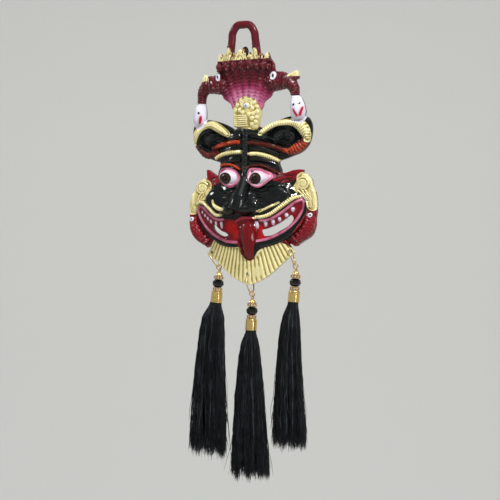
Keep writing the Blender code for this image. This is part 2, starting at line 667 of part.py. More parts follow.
def mask(parts, cutters):
    forms = [face_body(), hood_body(), beard_body()]
    forms.append(rods([loop_stroke()], parts, 3))
    forms += crown_forms(parts) + serpent_forms(parts) + crest_forms(parts) + horn_forms(parts)
    forms += brow_forms(parts) + eye_forms(parts) + ear_forms(parts) + nose_forms(parts)
    forms += mouth_forms(parts) + tongue_forms(parts) + fish_forms(parts)
    made = fuse("mask", forms, parts)
    behind = block(at(-90, 40, 0), at(90, -230, BEHIND * 3))
    cut(made, cutter("wall_plane", behind, cutters))
    cut(made, cutter("face_hollow", hollow(FACE, FACE_HOLLOW_FOOT, FACE_HOLLOW_TOP, 10, 14), cutters))
    for side, reach in HORN_REACH:
        label = "right" if side > 0 else "left"
        scoop = ball(side * reach * 31.5, -87.0, 0.0, 11.5, 6.6, 8.6 - SHELL_WALL / UNIT_H, side * 4, 10)
        cut(made, cutter("horn_hollow_" + label, scoop, cutters))
    for label, slot in MOUTH_SLOTS:
        opening = plate("mouth_opening", slot, BEHIND * 2, 40, parts, 0.3)
        cut(made, cutter("mouth_opening_" + label, opening, cutters))
    for label, tassel in TASSELS.items():
        cut(made, cutter("ring_hole_" + label, hole_cutter(*tassel["hole"], RING_HOLE), cutters))
    made.data.materials.append(material("cast_enamel", (0.010, 0.016, 0.017), 0.22, 0.0))
    return made


def turned(name, profile, steps, group):
    """Turned body from an outer and inner profile of (radius, height), top to bottom and back."""
    data = bpy.data.meshes.new(name)
    form = bmesh.new()
    points = [form.verts.new((radius, 0.0, height)) for radius, height in profile]
    for a, b in zip(points, points[1:] + points[:1]):
        form.edges.new((a, b))
    form.to_mesh(data)
    form.free()
    made = bpy.data.objects.new(name, data)
    group.objects.link(made)
    screw = made.modifiers.new("turn", "SCREW")
    screw.steps = steps
    screw.render_steps = steps
    screw.use_merge_vertices = True
    screw.merge_threshold = 0.00001
    screw.use_smooth_shade = True
    return made


def ring(name, outer, wire, group, major=16, minor=6):
    bpy.ops.mesh.primitive_torus_add(major_radius=(outer - wire) / 2, minor_radius=wire / 2,
                                     major_segments=major, minor_segments=minor)
    made = bpy.context.object
    made.name = name
    made.data.name = name
    for owner in made.users_collection:
        owner.objects.unlink(made)
    group.objects.link(made)
    return made


def union(name, forms, group):
    """One body from overlapping forms by Boolean union."""
    first = mesh_object(name, forms[0], group)
    helpers = []
    for number, form in enumerate(forms[1:]):
        helper = mesh_object(f"{name}_joined_{number}", form, group)
        change = first.modifiers.new(f"join_{number}", "BOOLEAN")
        change.operation = "UNION"
        change.solver = "EXACT"
        change.object = helper
        helpers.append(helper)
    evaluated = first.evaluated_get(bpy.context.evaluated_depsgraph_get())
    data = bpy.data.meshes.new_from_object(evaluated)
    for item in [first, *helpers]:
        bpy.data.objects.remove(item, do_unlink=True)
    made = bpy.data.objects.new(name, data)
    group.objects.link(made)
    return made


def cylinder(width, low, high, segments):
    form = bmesh.new()
    bmesh.ops.create_cone(form, cap_ends=True, segments=segments, radius1=width / 2, radius2=width / 2,
                          depth=high - low)
    bmesh.ops.translate(form, vec=(0, 0, (low + high) / 2), verts=form.verts)
    return form


def torus_form(outer, wire, centre, major, minor):
    """Torus in the XZ plane around a centre."""
    form = bmesh.new()
    reach = (outer - wire) / 2
    circle = [form.verts.new((reach + wire / 2 * math.cos(a), 0, wire / 2 * math.sin(a)))
              for a in (2 * math.pi * k / minor for k in range(minor))]
    edges = [form.edges.new((a, b)) for a, b in zip(circle, circle[1:] + circle[:1])]
    bmesh.ops.spin(form, geom=circle + edges, cent=(0, 0, 0), axis=(0, 0, 1), angle=2 * math.pi, steps=major,
                   use_merge=True)
    bmesh.ops.remove_doubles(form, verts=form.verts, dist=0.00001)
    bmesh.ops.recalc_face_normals(form, faces=form.faces)
    matrix = Matrix.Translation(centre) @ Matrix.Rotation(math.radians(90), 4, "X")
    bmesh.ops.transform(form, matrix=matrix, verts=form.verts)
    return form


def downward(lean, out=0.0):
    """Rotation of a hanging piece that leans by degrees towards +X and out towards the front."""
    return Matrix.Rotation(math.radians(-lean), 3, "Y") @ Matrix.Rotation(math.radians(-out), 3, "X")


def tassel(label, spec, finishes, group):
    """One ring, link, pin, cap, two rondelles, bead, ferrule and thread skirt below a hole of the beard."""
    x, z = spec["hole"]
    sheet_middle = at(x, z, beard_height(x)) + Vector((0, BEARD_SHEET / 2, 0))
    reach = (spec["ring"] - RING_WIRE) / 2
    forward = max(0.0, spec["ring"] / 2 + WALL_GAP - (LOOP_STAND - sheet_middle.y))
    deepest = min(reach * 0.9, forward + BEARD_SHEET / 2)
    wire_rest = sheet_middle.z - RING_HOLE / 2 + GAP + RING_WIRE * 0.6
    ring_turn = downward(spec["ring_lean"]) @ Matrix.Rotation(math.radians(-spec["ring_yaw"]), 3, "Z")
    ring_middle = Vector((x * UNIT_X, sheet_middle.y, wire_rest)) \
        + ring_turn @ Vector((0, -forward, -math.sqrt(reach ** 2 - deepest ** 2)))
    made = ring(f"{label}_ring", spec["ring"], RING_WIRE, group, 14, 5)
    across = Matrix.Rotation(math.radians(90), 3, "Y")
    made.matrix_world = Matrix.Translation(ring_middle) @ (ring_turn @ across).to_4x4()
    made.data.materials.append(finishes["ring"])

    ring_low = ring_middle + ring_turn @ Vector((0, 0, -reach))
    link_reach = (LINK_OUTER - LINK_WIRE) / 2
    link_turn = downward(spec["link_lean"])
    link_middle = ring_low + link_turn @ Vector((0, 0, RING_WIRE / 2 + LINK_WIRE / 2 + GAP - link_reach))
    link = ring(f"{label}_link", LINK_OUTER, LINK_WIRE, group, 10, 5)
    upright = Matrix.Rotation(math.radians(90), 3, "X")
    link.matrix_world = Matrix.Translation(link_middle) @ (link_turn @ upright).to_4x4()
    link.data.materials.append(finishes["link"])

    hang_turn = downward(spec["hang"], spec["out"])
    eye_top = link_middle + link_turn @ Vector((0, 0, LINK_WIRE / 2 + PIN_WIRE / 2 + GAP - link_reach))
    root = bpy.data.objects.new(f"{label}_tassel", None)
    group.objects.link(root)
    root.matrix_world = Matrix.Translation(eye_top) @ hang_turn.to_4x4()

    eye_reach = (PIN_EYE - PIN_WIRE) / 2
    eye_bottom = -2 * eye_reach - PIN_WIRE / 2
    cap_top = eye_bottom - GAP
    cap_bottom = cap_top - CAP_HEIGHT
    upper_bottom = cap_bottom - GAP - RONDELLE_HEIGHT
    bead_bottom = upper_bottom - GAP - BEAD_HEIGHT
    lower_bottom = bead_bottom - GAP - RONDELLE_HEIGHT
    ferrule_top = lower_bottom - GAP
    roof = ferrule_top - FERRULE_WALL
    head_top = roof - GAP
    head_bottom = head_top - PIN_WIRE
    bore = PIN_WIRE / 2 + GAP

    eye = torus_form(PIN_EYE, PIN_WIRE, (0, 0, -eye_reach), 10, 5)
    bmesh.ops.transform(eye, matrix=Matrix.Rotation(math.radians(90), 4, "Z"), verts=eye.verts)
    shaft = cylinder(PIN_WIRE, head_bottom + PIN_WIRE / 2, eye_bottom + PIN_WIRE * 0.6, 6)
    head = cylinder(PIN_HEAD, head_bottom, head_top, 8)
    pin = union(f"{label}_pin", [shaft, eye, head], group)
    pin.parent = root
    pin.data.materials.append(finishes["ring"])

    def stacked(suffix, profile, steps, finish):
        made = turned(f"{label}_{suffix}", profile, steps, group)
        made.parent = root
        made.data.materials.append(finishes[finish])

    cap = CAP_WIDTH / 2
    stacked("cap", [(bore, cap_top), (cap * 0.45, cap_top), (cap * 0.85, cap_top - CAP_HEIGHT * 0.35),
                    (cap, cap_bottom), (bore, cap_bottom)], 10, "cap")
    half = RONDELLE_WIDTH / 2

    def rondelle(top):
        bottom = top - RONDELLE_HEIGHT
        return [(bore, top), (half * 0.8, top), (half, top - RONDELLE_HEIGHT * 0.3),
                (half, top - RONDELLE_HEIGHT * 0.7), (half * 0.8, bottom), (bore, bottom)]

    stacked("upper_rondelle", rondelle(cap_bottom - GAP), 10, "cap")
    wide = BEAD_WIDTH / 2
    bead_top = upper_bottom - GAP
    stacked("bead", [(bore, bead_top), (wide * 0.66, bead_top), (wide, bead_top - BEAD_HEIGHT * 0.3),
                     (wide, bead_top - BEAD_HEIGHT * 0.7), (wide * 0.66, bead_bottom), (bore, bead_bottom)],
            BEAD_FACETS, "glass")
    stacked("lower_rondelle", rondelle(bead_bottom - GAP), 10, "cap")
    outer = FERRULE_WIDTH / 2
    inner = outer - FERRULE_WALL
    mouth = ferrule_top - FERRULE_HEIGHT
    stacked("ferrule", [(bore, ferrule_top), (outer * 0.9, ferrule_top), (outer, ferrule_top - FERRULE_WALL),
                        (outer, mouth), (inner, mouth), (inner, roof), (bore, roof)], 12, "ferrule")
    stand = LOOP_STAND - root.matrix_world.translation.y
    skirt(label, spec, root, stand, head_bottom - GAP, mouth, inner - GAP, finishes["thread"], group)


def skirt(label, spec, root, stand, top, mouth, neck, finish, group):
    """Closed solid of a thread skirt: a plug in the ferrule, then a bell that flattens against the wall."""
    levels = [(top, 0.0, neck, neck), (mouth, 0.0, neck, neck)]
    for share in SKIRT_LEVELS:
        height = mouth - share * spec["thread"]
        wide = neck + (spec["spread"] - neck) * share ** spec["bell"]
        room = stand - height * math.sin(math.radians(spec["out"])) - WALL_GAP
        deep = min(wide * (1 - SKIRT_FLATNESS * share ** 0.5), room)
        aside = spec["bow"] * math.sin(math.pi * share ** 0.6) + spec["drift"] * share
        levels.append((height, aside, wide, deep))
    form = bmesh.new()
    bmesh.ops.create_grid(form, x_segments=len(levels) - 1, y_segments=SKIRT_SIDES, size=0.5)
    for vert in form.verts:
        level = round((vert.co.x + 0.5) * (len(levels) - 1))
        turn = (vert.co.y + 0.5) * 2 * math.pi
        height, aside, wide, deep = levels[level]
        vert.co = (aside + wide * math.cos(turn), deep * math.sin(turn), height)
    bmesh.ops.remove_doubles(form, verts=form.verts, dist=0.00001)
    bmesh.ops.holes_fill(form, edges=form.edges, sides=SKIRT_SIDES)
    bmesh.ops.recalc_face_normals(form, faces=form.faces)
    made = mesh_object(f"{label}_skirt", form, group)
    made.parent = root
    made.data.materials.append(finish)


def build():
    remove_everything()
    parts = collection("kirtimukha_mask")
    cutters = collection("kirtimukha_mask_cutters")
    mask(parts, cutters)
    finishes = {
        "ring": material("gilt_wire", (0.80, 0.58, 0.25), 0.28, 1.0),
        "link": material("copper_wire", (0.70, 0.40, 0.22), 0.32, 1.0),
        "cap": material("gilt_filigree", (0.82, 0.60, 0.30), 0.30, 1.0),
        "glass": material("black_glass", (0.006, 0.006, 0.008), 0.08, 0.0),
        "ferrule": material("gilt_ferrule", (0.86, 0.62, 0.22), 0.14, 1.0),
        "thread": material("black_thread", (0.010, 0.012, 0.016), 0.55, 0.0),
    }
    for label, spec in TASSELS.items():
        tassel(label, spec, finishes, parts)


build()
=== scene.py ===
# %% [markdown]
# # A kirtimukha mask with bead and thread tassels
#
# The real piece is a small wall mask: one hollow metal casting, brushed with gloss enamel and gold paint,
# hung from its own loop, with three ready-made tassels on rings under the beard.
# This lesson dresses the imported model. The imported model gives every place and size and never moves.

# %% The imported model
import math

import bmesh
import bpy
import numpy as np
from mathutils import Matrix, Vector, noise


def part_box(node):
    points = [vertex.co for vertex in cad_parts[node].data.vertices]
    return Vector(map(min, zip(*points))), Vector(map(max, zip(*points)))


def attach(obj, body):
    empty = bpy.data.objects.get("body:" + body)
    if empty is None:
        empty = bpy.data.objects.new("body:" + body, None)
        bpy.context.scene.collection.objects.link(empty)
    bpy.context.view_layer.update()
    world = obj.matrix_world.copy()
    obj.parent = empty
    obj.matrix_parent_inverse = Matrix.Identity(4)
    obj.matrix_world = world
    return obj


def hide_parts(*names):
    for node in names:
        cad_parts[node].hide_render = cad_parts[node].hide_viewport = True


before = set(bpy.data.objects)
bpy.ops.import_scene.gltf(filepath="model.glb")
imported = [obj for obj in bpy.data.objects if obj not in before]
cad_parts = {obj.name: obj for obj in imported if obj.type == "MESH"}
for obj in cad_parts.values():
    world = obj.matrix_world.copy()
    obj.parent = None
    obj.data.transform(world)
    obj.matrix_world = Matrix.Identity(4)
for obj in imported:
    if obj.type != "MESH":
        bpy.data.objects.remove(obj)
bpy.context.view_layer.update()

MM = 0.001

# %% [markdown]
# ## Camera
#
# The photo was taken from the viewer's right of the mask, level with its middle, and leans by about a degree.
# A long lens from 1.4 m keeps the depth of the nose and horns as flat as the photo shows them.

# %% Camera
LOOK_AT = Vector((-0.003, 0.0105, -0.1756))
CAMERA_DISTANCE = 1.4
PICTURE_HEIGHT = 0.4
CAMERA_TURN = math.radians(24)
CAMERA_ROLL = math.radians(-1.2)

camera = bpy.data.objects.new("camera", bpy.data.cameras.new("camera"))
bpy.context.scene.collection.objects.link(camera)
camera.data.angle = 2 * math.atan(PICTURE_HEIGHT / 2 / CAMERA_DISTANCE)
camera.location = LOOK_AT + CAMERA_DISTANCE * Vector((math.sin(CAMERA_TURN), -math.cos(CAMERA_TURN), 0))
camera.rotation_mode = "QUATERNION"
upright = Matrix.Rotation(CAMERA_TURN, 3, "Z") @ Matrix.Rotation(math.radians(90), 3, "X")
camera.rotation_quaternion = (upright @ Matrix.Rotation(CAMERA_ROLL, 3, "Z")).to_quaternion()
bpy.context.scene.camera = camera
print("lens:", round(camera.data.lens, 1), "mm")

# %% [markdown]
# ## Making meshes from rows of points
#
# Turned pieces, wires and threads are all sections joined in a row, so one helper makes them.
# A section's points go round, and each section is joined to the next. Closed ends keep every piece a solid.


# %% Meshes from sections
def put(mesh, name):
    made = bpy.data.objects.new(name, mesh)
    bpy.context.scene.collection.objects.link(made)
    return made


def applied(target):
    """A new mesh of an object as it looks with its curve or modifiers worked out."""
    return bpy.data.meshes.new_from_object(target.evaluated_get(bpy.context.evaluated_depsgraph_get()))


def joined_sections(sections, closed=False, ends=True):
    """Points and faces of a skin through sections, an array of section, point and coordinate."""
    rows, around, _ = sections.shape
    step = np.arange(around)
    ahead = (step + 1) % around
    faces = []
    for row in range(rows if closed else rows - 1):
        here = row * around
        there = (row + 1) % rows * around
        faces += np.stack([here + step, here + ahead, there + ahead, there + step], 1).tolist()
    if ends and not closed:
        faces.append(list(range(around))[::-1])
        faces.append(list(range((rows - 1) * around, rows * around)))
    return sections.reshape(-1, 3), faces


def lathe(profile, steps, petals=None):
    """Sections of a turned skin: each (radius, height) of the profile goes once round the axis."""
    turns = np.linspace(0, 2 * math.pi, steps, endpoint=False)
    rows = []
    for radius, height in profile:
        reach = radius if petals is None else radius * petals(turns)
        rows.append(np.stack([reach * np.cos(turns), reach * np.sin(turns), np.full(steps, height)], 1))
    return np.array(rows)


def solid(name, parts, smooth_angle=40.0):
    """One mesh object from several (points, faces) pairs, shaded smooth up to an angle between faces."""
    points = []
    faces = []
    for part_points, part_faces in parts:
        shift = len(points)
        points += [tuple(point) for point in part_points]
        faces += [[corner + shift for corner in face] for face in part_faces]
    mesh = bpy.data.meshes.new(name)
    mesh.from_pydata(points, [], faces)
    form = bmesh.new()
    form.from_mesh(mesh)
    bmesh.ops.recalc_face_normals(form, faces=form.faces)
    form.to_mesh(mesh)
    form.free()
    mesh.shade_smooth()
    mesh.set_sharp_from_angle(angle=math.radians(smooth_angle))
    return put(mesh, name)


print("faces of a can with 12 sides:", len(joined_sections(lathe([(1, 0), (1, 1)], 12))[1]))

# %% [markdown]
# ## Stage and light
#
# A pale floor far below sweeps up into a round pale wall, so the mask hangs free and every side can be seen.
# A small lamp high on the viewer's right makes the sharp glints on the enamel and the long shadows under the
# bands, and a weaker rim, sheen and strip lamp outline the dark forms. The other wide lamps only soften the
# shadows and leave no reflections, and that keeps the black enamel deep.

# %% Stage and light
FLOOR_Z = -1.3
SWEEP = 1.4
BOWL_RADIUS = 3.4
BOWL_TOP = 2.4
SWEEP_STEPS = 12
# Lamps on the mask: degrees to the right, degrees up, distance, width, watts, shows in reflections, height
LAMPS = {
    "key": (52, 44, 1.5, 0.08, 17, True, None),
    "rim": (-62, 30, 1.4, 0.15, 3, True, None),
    "sheen": (44, 62, 1.4, 0.8, 1.6, True, None),
    "fill": (-10, 12, 1.8, 0.8, 6, False, None),
    "top": (10, 78, 1.3, 0.6, 4, False, None),
    "strip": (66, 4, 1.5, 0.08, 1.6, True, 0.5),
}
# Lamps on the wall: turn and rise of the lamp and its distance, turn and rise of what it lights, watts
WASHES = {"wall_wash": (204, 34, 0.9, 204, -4, 26), "front_wash": (24, 44, 1.7, 24, 10, 6)}
WALL_DISTANCE = 3.4
FLOOR_COLOUR = (0.72, 0.72, 0.70, 1)
SKY_COLOUR = (0.86, 0.88, 0.90, 1)
SKY_STRENGTH = 0.25


def pale_bowl():
    profile = [(0.01, FLOOR_Z), (BOWL_RADIUS - SWEEP, FLOOR_Z)]
    for step in range(1, SWEEP_STEPS + 1):
        turn = math.radians(90 * step / SWEEP_STEPS)
        profile.append((BOWL_RADIUS - SWEEP + SWEEP * math.sin(turn), FLOOR_Z + SWEEP * (1 - math.cos(turn))))
    profile.append((BOWL_RADIUS, BOWL_TOP))
    points, faces = joined_sections(lathe(profile, 96), ends=False)
    mesh = bpy.data.meshes.new("pale_floor")
    mesh.from_pydata(points.tolist(), [], faces)
    mesh.shade_smooth()
    return put(mesh, "pale_floor")


def around(turn, rise, distance):
    """Place at degrees of turn to the viewer's right and of rise, seen from the middle of the mask."""
    side = math.radians(turn)
    lift = math.radians(rise)
    level = math.cos(lift)
    return LOOK_AT + distance * Vector((math.sin(side) * level, -math.cos(side) * level, math.sin(lift)))


def soft_light(name, place, aim, size, energy, glints=False, tall=None):
    light = bpy.data.objects.new(name, bpy.data.lights.new(name, "AREA"))
    bpy.context.scene.collection.objects.link(light)
    light.data.shape = "RECTANGLE" if tall else "DISK"
    light.data.size = size
    light.data.size_y = tall or size
    light.data.energy = energy
    light.location = place
    light.rotation_euler = (place - aim).to_track_quat("Z", "Y").to_euler()
    light.visible_glossy = glints


floor = pale_bowl()
floor_paint = bpy.data.materials.new("pale_floor")
floor_paint.use_nodes = True
floor_shader = floor_paint.node_tree.nodes["Principled BSDF"]
floor_shader.inputs["Base Color"].default_value = FLOOR_COLOUR
floor_shader.inputs["Roughness"].default_value = 0.9
floor.data.materials.append(floor_paint)
for name, (turn, rise, distance, size, watts, glints, tall) in LAMPS.items():
    soft_light(name, around(turn, rise, distance), LOOK_AT, size, watts, glints, tall)
for name, (turn, rise, distance, wall_turn, wall_rise, watts) in WASHES.items():
    soft_light(name, around(turn, rise, distance), around(wall_turn, wall_rise, WALL_DISTANCE), 1.0, watts)
world = bpy.data.worlds.new("pale_world")
world.use_nodes = True
sky = world.node_tree.nodes["Background"]
sky.inputs["Color"].default_value = SKY_COLOUR
sky.inputs["Strength"].default_value = SKY_STRENGTH
bpy.context.scene.world = world
bpy.context.scene.view_settings.view_transform = "Standard"
print("lamps:", len(LAMPS) + len(WASHES), "bowl radius:", BOWL_RADIUS, "m")

# %% [markdown]
# ## Drawing the casting
#
# The casting is drawn as overlapping round forms, like rolls and pellets of wax that a modeller lays down.
# A point is x across and z up in millimetres from the inside top of the loop, and h in front of the wall.
# Rolls are curves with a bevel, leaves are flat plates with rounded edges, and pellets are ellipsoids.

# %% Rolls, plates and pellets
WALL_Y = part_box("mask")[1].y
BEHIND = -4.0
SHELL_WALL = 2.8
RIM_WIDTH = 3.5


def at(x, z, h):
    return Vector((x * MM, WALL_Y - h * MM, z * MM))


def smooth_path(points, steps=6):
    """Points along a smooth curve through the given points. Every component is smoothed alike."""
    padded = [points[0], *points, points[-1]]
    path = []
    for a, b, c, d in zip(padded, padded[1:], padded[2:], padded[3:]):
        for step in range(steps):
            t = step / steps
            path.append(tuple(
                0.5 * (2 * q + (r - p) * t + (2 * p - 5 * q + 4 * r - s) * t * t
                       + (3 * q - p - 3 * r + s) * t ** 3)
                for p, q, r, s in zip(a, b, c, d)))
    path.append(tuple(points[-1]))
    return path


def on_side(points, side, reach=1.0):
    return [(side * reach * point[0], *point[1:]) for point in points]


def both_sides(points):
    return [on_side(points, 1), on_side(points, -1)]


def taken(curve):
    """The mesh of a curve object as a form, with its caps welded. The curve is removed."""
    bpy.context.view_layer.update()
    mesh = applied(curve)
    form = bmesh.new()
    form.from_mesh(mesh)
    bmesh.ops.transform(form, matrix=curve.matrix_world, verts=form.verts)
    bmesh.ops.remove_doubles(form, verts=form.verts, dist=0.000005)
    bpy.data.objects.remove(curve, do_unlink=True)
    bpy.data.meshes.remove(mesh)
    return form


def rolls(strokes, sides=3):
    """Closed round rolls, each along a stroke of (x, z, h, radius)."""
    data = bpy.data.curves.new("rolls", "CURVE")
    data.dimensions = "3D"
    data.bevel_depth = MM
    data.bevel_resolution = sides
    data.use_fill_caps = True
    for stroke in strokes:
        path = smooth_path(stroke)
        spline = data.splines.new("POLY")
        spline.points.add(len(path) - 1)
        for point, (x, z, h, radius) in zip(spline.points, path):
            point.co = (*at(x, z, h), 1.0)
            point.radius = radius
    return taken(put(data, "rolls"))


def plate(outline, low, high, softness=1.2):
    """Flat plate with rounded edges, from the height low to the height high."""
    data = bpy.data.curves.new("plate", "CURVE")
    data.dimensions = "2D"
    data.fill_mode = "BOTH"
    rounding = min(softness, (high - low) * 0.45)
    data.bevel_depth = rounding * MM
    data.bevel_resolution = 3
    data.extrude = ((high - low) / 2 - rounding) * MM
    data.offset = -rounding * MM
    closed = smooth_path([*outline, outline[0]])[:-1]
    spline = data.splines.new("POLY")
    spline.use_cyclic_u = True
    spline.points.add(len(closed) - 1)
    for point, (x, z) in zip(spline.points, closed):
        point.co = (x * MM, z * MM, 0.0, 1.0)
    curve = put(data, "plate")
    curve.location = at(0, 0, (low + high) / 2)
    curve.rotation_euler = (math.radians(90), 0, 0)
    return taken(curve)


def pellet(x, z, h, across, up, out, turn=0.0):
    """Ellipsoid with its half sizes, turned in the wall's plane by degrees."""
    form = bmesh.new()
    bmesh.ops.create_uvsphere(form, u_segments=40, v_segments=24, radius=MM)
    size = Matrix.Diagonal((across, out, up, 1.0))
    turned = Matrix.Rotation(math.radians(turn), 4, "Y")
    bmesh.ops.transform(form, matrix=Matrix.Translation(at(x, z, h)) @ turned @ size, verts=form.verts)
    return form


def sheet_form(columns, rows, front, back):
    """Closed body between two surfaces of u and v, each from -1 to 1."""
    form = bmesh.new()
    bmesh.ops.create_grid(form, x_segments=columns, y_segments=rows, size=1.0)
    extruded = bmesh.ops.extrude_face_region(form, geom=list(form.faces))["geom"]
    front_points = {item for item in extruded if isinstance(item, bmesh.types.BMVert)}
    for vert in form.verts:
        surface = front if vert in front_points else back
        vert.co = surface(vert.co.x, vert.co.y)
    bmesh.ops.recalc_face_normals(form, faces=form.faces)
    return form


print("wall plane at y =", round(WALL_Y / MM, 2), "mm")

# %% [markdown]
# ## The face, the hood and the beard
#
# These three are broad surfaces. The face and the hood are domes whose width and height follow stations down
# the mask, and the beard is a thin ribbed fan about a point between the eyes.

# %% Face, hood and beard
# Stations: z, half width, height on the middle line, height at the edge
FACE = [
    (-77, 9, 7.5, 4), (-84, 22, 9.5, 5), (-98, 26.5, 10.5, 5.5), (-107, 25, 11.5, 5.5), (-114, 27, 13, 5.5),
    (-122, 34.5, 15, 5), (-130, 40, 16.5, 4.5), (-138, 46, 16.5, 4), (-148, 46.5, 15.5, 4),
    (-158, 42, 14, 4.5), (-167, 33, 13, 5), (-174, 22, 13, 8), (-180, 8, 13, 10),
]
HOOD = [(-22, 21, 11.5, 8), (-30, 24.5, 10.5, 7), (-39, 25.5, 9.5, 6), (-47, 26.5, 9, 5.5), (-53, 21, 8.5, 6),
        (-60, 14, 8, 6), (-68, 10.4, 8, 6), (-76, 8.4, 8, 6), (-82, 8, 8, 6)]
HOOD_ROOT = -88.0
FLUTE_TURN = 8.0
FLUTE_HEIGHT = 0.8
BEARD_ROOT = -120.0
# Reach of the beard's edge, at degrees from straight down to the right
BEARD_REACH = [
    (-33, 69.5), (-31, 70.6), (-27, 69.8), (-23, 70.2), (-18, 72.8), (-13.5, 75.6), (-10, 78), (-4, 81),
    (-1.8, 82), (1.5, 83.2), (6, 81.8), (10, 79.9), (14.2, 77.6), (20.7, 73.8), (26.4, 71.2), (30.5, 70.2),
    (33, 69.5),
]
BEARD_TOP = 50.0
BEARD_RIBS = 23
BEARD_RIB = 1.4
BEARD_SHEET = 3.0
BEARD_CREST = 13.0
BEARD_EDGE = 5.5
BEARD_HALF = 36.0
BEARD_CURVE = 1.8
DOME_CURVE = 2.3
# Where fingers have worn the ribs down: x, z, half width, half height, and the level that is left of a rib
WORN_PATCH = (9.5, -193.0, 4.5, 5.5, 0.85)


def station(table, z):
    """Row of a station table at height z, between its two nearest rows."""
    if z >= table[0][0]:
        return table[0][1:]
    for upper, lower in zip(table, table[1:]):
        if z >= lower[0]:
            share = (upper[0] - z) / (upper[0] - lower[0])
            share = share * share * (3 - 2 * share)
            return tuple(a + (b - a) * share for a, b in zip(upper[1:], lower[1:]))
    return table[-1][1:]


def domed(table, x, z):
    width, crest, edge = station(table, z)
    share = min(1.0, abs(x) / width)
    return edge + (crest - edge) * (1 - share ** DOME_CURVE)


def face_height(x, z):
    return domed(FACE, x, z)


def lying(points, lift):
    """Stroke on the face: each (x, z, radius) gets the face's height plus lift radii."""
    return [(x, z, face_height(x, z) + lift * radius, radius) for x, z, radius in points]


def dome_form(table, columns, rows, height, back_height):
    top, bottom = table[0][0], table[-1][0]

    def spot(u, v):
        z = top + (bottom - top) * (1 - v) / 2
        return u * station(table, z)[0], z

    def front(u, v):
        x, z = spot(u, v)
        return at(x, z, height(x, z))

    def back(u, v):
        x, z = spot(u, v)
        return at(x, z, back_height(x, z))

    return sheet_form(columns, rows, front, back)


def hood_height(x, z):
    fan = math.degrees(math.atan2(x, z - HOOD_ROOT))
    flute = math.cos(math.radians(fan / FLUTE_TURN * 360))
    return domed(HOOD, x, z) + FLUTE_HEIGHT * (0.5 + 0.5 * flute)


def beard_height(x):
    share = min(1.0, abs(x) / BEARD_HALF)
    return BEARD_EDGE + (BEARD_CREST - BEARD_EDGE) * (1 - share ** BEARD_CURVE)


def beard_form():
    half_angle = BEARD_REACH[-1][0]
    turns, reaches = zip(*BEARD_REACH)
    worn_x, worn_z, worn_wide, worn_tall, worn_level = WORN_PATCH

    def spot(u, v):
        reach = BEARD_TOP + (np.interp(u * half_angle, turns, reaches) - BEARD_TOP) * (1 - v) / 2
        turn = math.radians(u * half_angle)
        return reach * math.sin(turn), BEARD_ROOT - reach * math.cos(turn)

    def front(u, v):
        x, z = spot(u, v)
        rib = abs(math.sin(u * BEARD_RIBS * math.pi / 2))
        worn = math.exp(-math.hypot((x - worn_x) / worn_wide, (z - worn_z) / worn_tall) ** 4)
        return at(x, z, beard_height(x) + BEARD_RIB * (rib + (worn_level - rib) * worn))

    def back(u, v):
        x, z = spot(u, v)
        return at(x, z, beard_height(x) - BEARD_SHEET)

    return sheet_form(BEARD_RIBS * 12, 24, front, back)


forms = [
    dome_form(FACE, 80, 160, face_height, lambda x, z: BEHIND),
    dome_form(HOOD, 160, 90, hood_height, lambda x, z: domed(HOOD, x, z) - SHELL_WALL),
    beard_form(),
]
print("faces of the three broad forms:", sum(len(form.faces) for form in forms))

# %% [markdown]
# ## Loop, crown and serpents
#
# A round rod bends up into the hanging loop. Gilt leaves stand in a row on the hood above a band of small
# cobra heads, and from its sides two makara trunks arch out, each with a white head hanging from its end.

# %% Loop, crown and serpents
SIDES = (1, -1)
LOOP_ROD = 3.2
LOOP_HALF = 10.1
LOOP_STAND = 10.5
half_loop = [
    (0, 3.2, LOOP_STAND, LOOP_ROD), (LOOP_HALF * 0.55, 2.56, LOOP_STAND, LOOP_ROD),
    (LOOP_HALF * 0.93, -3.0, LOOP_STAND, LOOP_ROD), (LOOP_HALF, -8.6, LOOP_STAND, LOOP_ROD),
    (LOOP_HALF * 1.12, -18, LOOP_STAND, LOOP_ROD), (LOOP_HALF * 1.2, -27, LOOP_STAND, LOOP_ROD),
]
LOOP = on_side(half_loop[1:], -1)[::-1] + half_loop
# Leaves: x and z of the foot, x and z of the tip, half width
LEAVES = (
    (-16.8, -26, -16.5, -19.6, 1.9), (-8.0, -26, -7.6, -18.6, 2.0), (5.0, -26, 5.0, -18.8, 1.9),
    (15.6, -26.5, 15.4, -20.4, 1.7), (-20.2, -26, -20.1, -18.9, 2.8), (-12.8, -26, -12.6, -14.9, 3.7),
    (10.1, -26, 10.2, -16.4, 3.6), (20.2, -27, 20.5, -19.7, 2.7), (-1.8, -26, -1.6, -16.5, 5.4),
)
KNOB = (0.4, -18.8, 8.6, 3.0, 5.0, 3.0)
